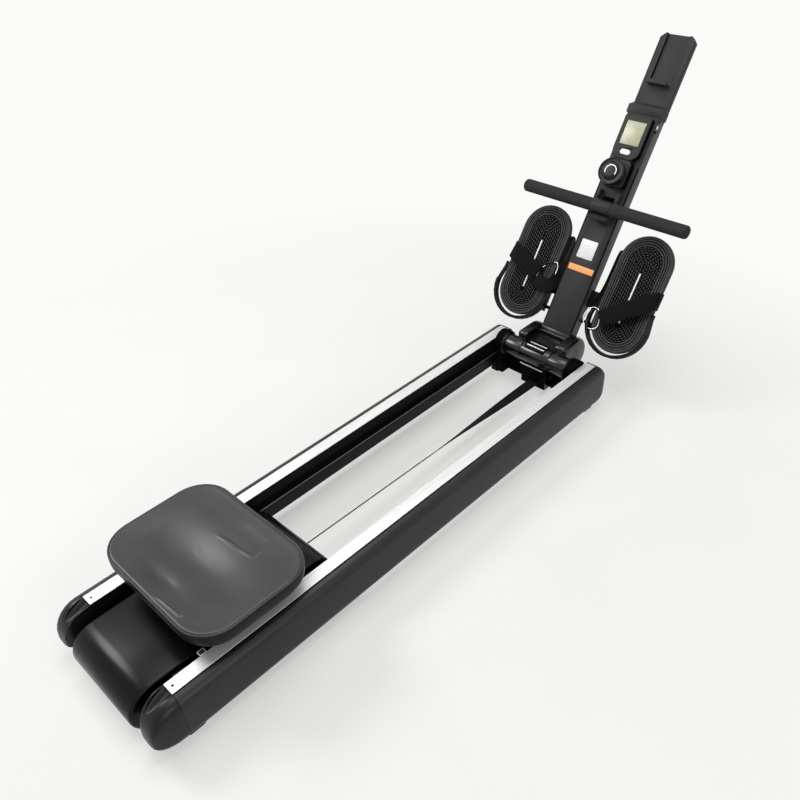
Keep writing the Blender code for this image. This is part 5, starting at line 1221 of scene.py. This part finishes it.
# The paper is least white up to the near distance about the shifted middle, and full white beyond the
# far one, in metres
PAPER_SHIFT = (0.3, 0, 0)
PAPER_NEAR = 0.5
PAPER_FAR = 1.8
LEAST_WHITE = 0.46


def seen_rays(tree):
    """A share that is 1 for rays from the camera, a shine or a clear piece, and 0 for other light."""
    ray = add_node(tree, "LightPath")
    seen = add_node(tree, "Math", {"operation": "MAXIMUM"},
                    links={0: ray.outputs["Is Camera Ray"], 1: ray.outputs["Is Glossy Ray"]})
    clear = add_node(tree, "Math", {"operation": "MAXIMUM"},
                     links={0: seen.outputs["Value"], 1: ray.outputs["Is Transmission Ray"]})
    return clear.outputs["Value"]


def add_floor():
    """A plain pale floor that shows white to the camera but keeps the object's soft shadow."""
    bpy.ops.object.select_all(action="DESELECT")
    bpy.ops.mesh.primitive_plane_add(size=FLOOR_SIZE, location=(0, 0, -FLOOR_DROP))
    floor = bpy.context.object
    floor.name = "studio_floor"
    finish, tree, shader, place = start_finish("pale_studio_paper", "#e0e0df", 0.9, Specular_IOR_Level=0.1)
    speckle = add_node(tree, "TexNoise", values={"Scale": per_mm(SPECKLE), "Detail": 2},
                       links={"Vector": place})
    colour = add_node(tree, "ValToRGB", links={"Fac": speckle.outputs["Fac"]},
                      stops=two_shades("#dededd", "#e2e2e1"))
    feed(tree, shader, {"Base Color": colour.outputs["Color"]})
    paper = add_node(tree, "Emission", values={"Color": linear(PAPER), "Strength": 1.0})
    # The paper lightens away from the rails, where the object casts no shadow.
    moved = add_node(tree, "Mapping", values={"Location": PAPER_SHIFT}, links={"Vector": place})
    away = add_node(tree, "VectorMath", {"operation": "LENGTH"}, links={0: moved.outputs["Vector"]})
    white = add_node(tree, "MapRange", links={"Value": away.outputs["Value"]},
                     values={"From Min": PAPER_NEAR, "From Max": PAPER_FAR, "To Min": LEAST_WHITE})
    share = add_node(tree, "Math", {"operation": "MULTIPLY"},
                     links={0: seen_rays(tree), 1: white.outputs["Result"]})
    mix = add_node(tree, "MixShader", links={"Fac": share.outputs["Value"], 1: shader.outputs["BSDF"],
                                             2: paper.outputs["Emission"]})
    feed(tree, tree.nodes["Material Output"], {"Surface": mix.outputs["Shader"]})
    floor.data.materials.append(finish)


# The softboxes in metres and watts: place, what they point at, size and power
SOFTBOXES = {"overhead_softbox": ((-0.1, 0.0, 3.0), (0.2, -0.1, 0.1), (2.2, 1.6), 52),
             "rear_softbox": ((-1.3, 2.2, 2.6), (-0.5, 0, 0.1), (1.2, 1.2), 68),
             "front_softbox": ((-1.2, -2.6, 1.4), (0, 0, 0.1), (2.0, 1.0), 24)}
AIR_STRENGTH = 0.22


def light_the_room():
    """A dim white world that shows the paper's white behind the floor, and three softboxes."""
    world = bpy.data.worlds.new("studio_air")
    bpy.context.scene.world = world
    world.use_nodes = True
    tree = world.node_tree
    tree.nodes.clear()
    dim = add_node(tree, "Background", values={"Color": (1, 1, 1, 1), "Strength": AIR_STRENGTH})
    white = add_node(tree, "Background", values={"Color": linear(PAPER), "Strength": 1.0})
    mix = add_node(tree, "MixShader", links={"Fac": seen_rays(tree), 1: dim.outputs["Background"],
                                             2: white.outputs["Background"]})
    add_node(tree, "OutputWorld", links={"Surface": mix.outputs["Shader"]})
    for name, (place, target, size, power) in SOFTBOXES.items():
        lamp = bpy.data.objects.new(name, bpy.data.lights.new(name, "AREA"))
        lamp.data.energy = power
        lamp.data.shape = "RECTANGLE"
        lamp.data.size, lamp.data.size_y = size
        lamp.location = place
        lamp.rotation_euler = (Vector(target) - Vector(place)).to_track_quat("-Z", "Y").to_euler()
        bpy.context.scene.collection.objects.link(lamp)


# The camera, solved from the photo: its place, the way it looks, its right hand, and its lens
CAMERA_PLACE = (-1.12228, -1.0170, 1.3402)
CAMERA_AHEAD = (0.5554, 0.5716, -0.6041)
CAMERA_RIGHT = (0.6947, -0.7182, -0.0408)
CAMERA_LENS = 36.12
CAMERA_SENSOR = 36


def place_camera():
    """The camera that took the photo, turned by its own three directions."""
    camera = bpy.data.objects.new("camera", bpy.data.cameras.new("camera"))
    bpy.context.scene.collection.objects.link(camera)
    camera.data.sensor_width = CAMERA_SENSOR
    camera.data.lens = CAMERA_LENS
    ahead = Vector(CAMERA_AHEAD).normalized()
    right = Vector(CAMERA_RIGHT)
    right = (right - ahead * right.dot(ahead)).normalized()
    up = right.cross(ahead)
    turn = Matrix((right, up, -ahead)).transposed().to_4x4()
    camera.matrix_world = Matrix.Translation(CAMERA_PLACE) @ turn
    bpy.context.scene.camera = camera


dress_kept_nodes()
dress_shaped_nodes()
make_seat()
make_grips()
make_foot_pads()
make_rings()
make_pull_strap()
make_inner_straps()
make_lines()
make_labels()
make_knob()
make_fold_trim()
make_small_parts()
make_rear_caps()
make_screws()
make_webbing_straps()
add_floor()
light_the_room()
place_camera()
bpy.context.scene.view_settings.view_transform = "Standard"
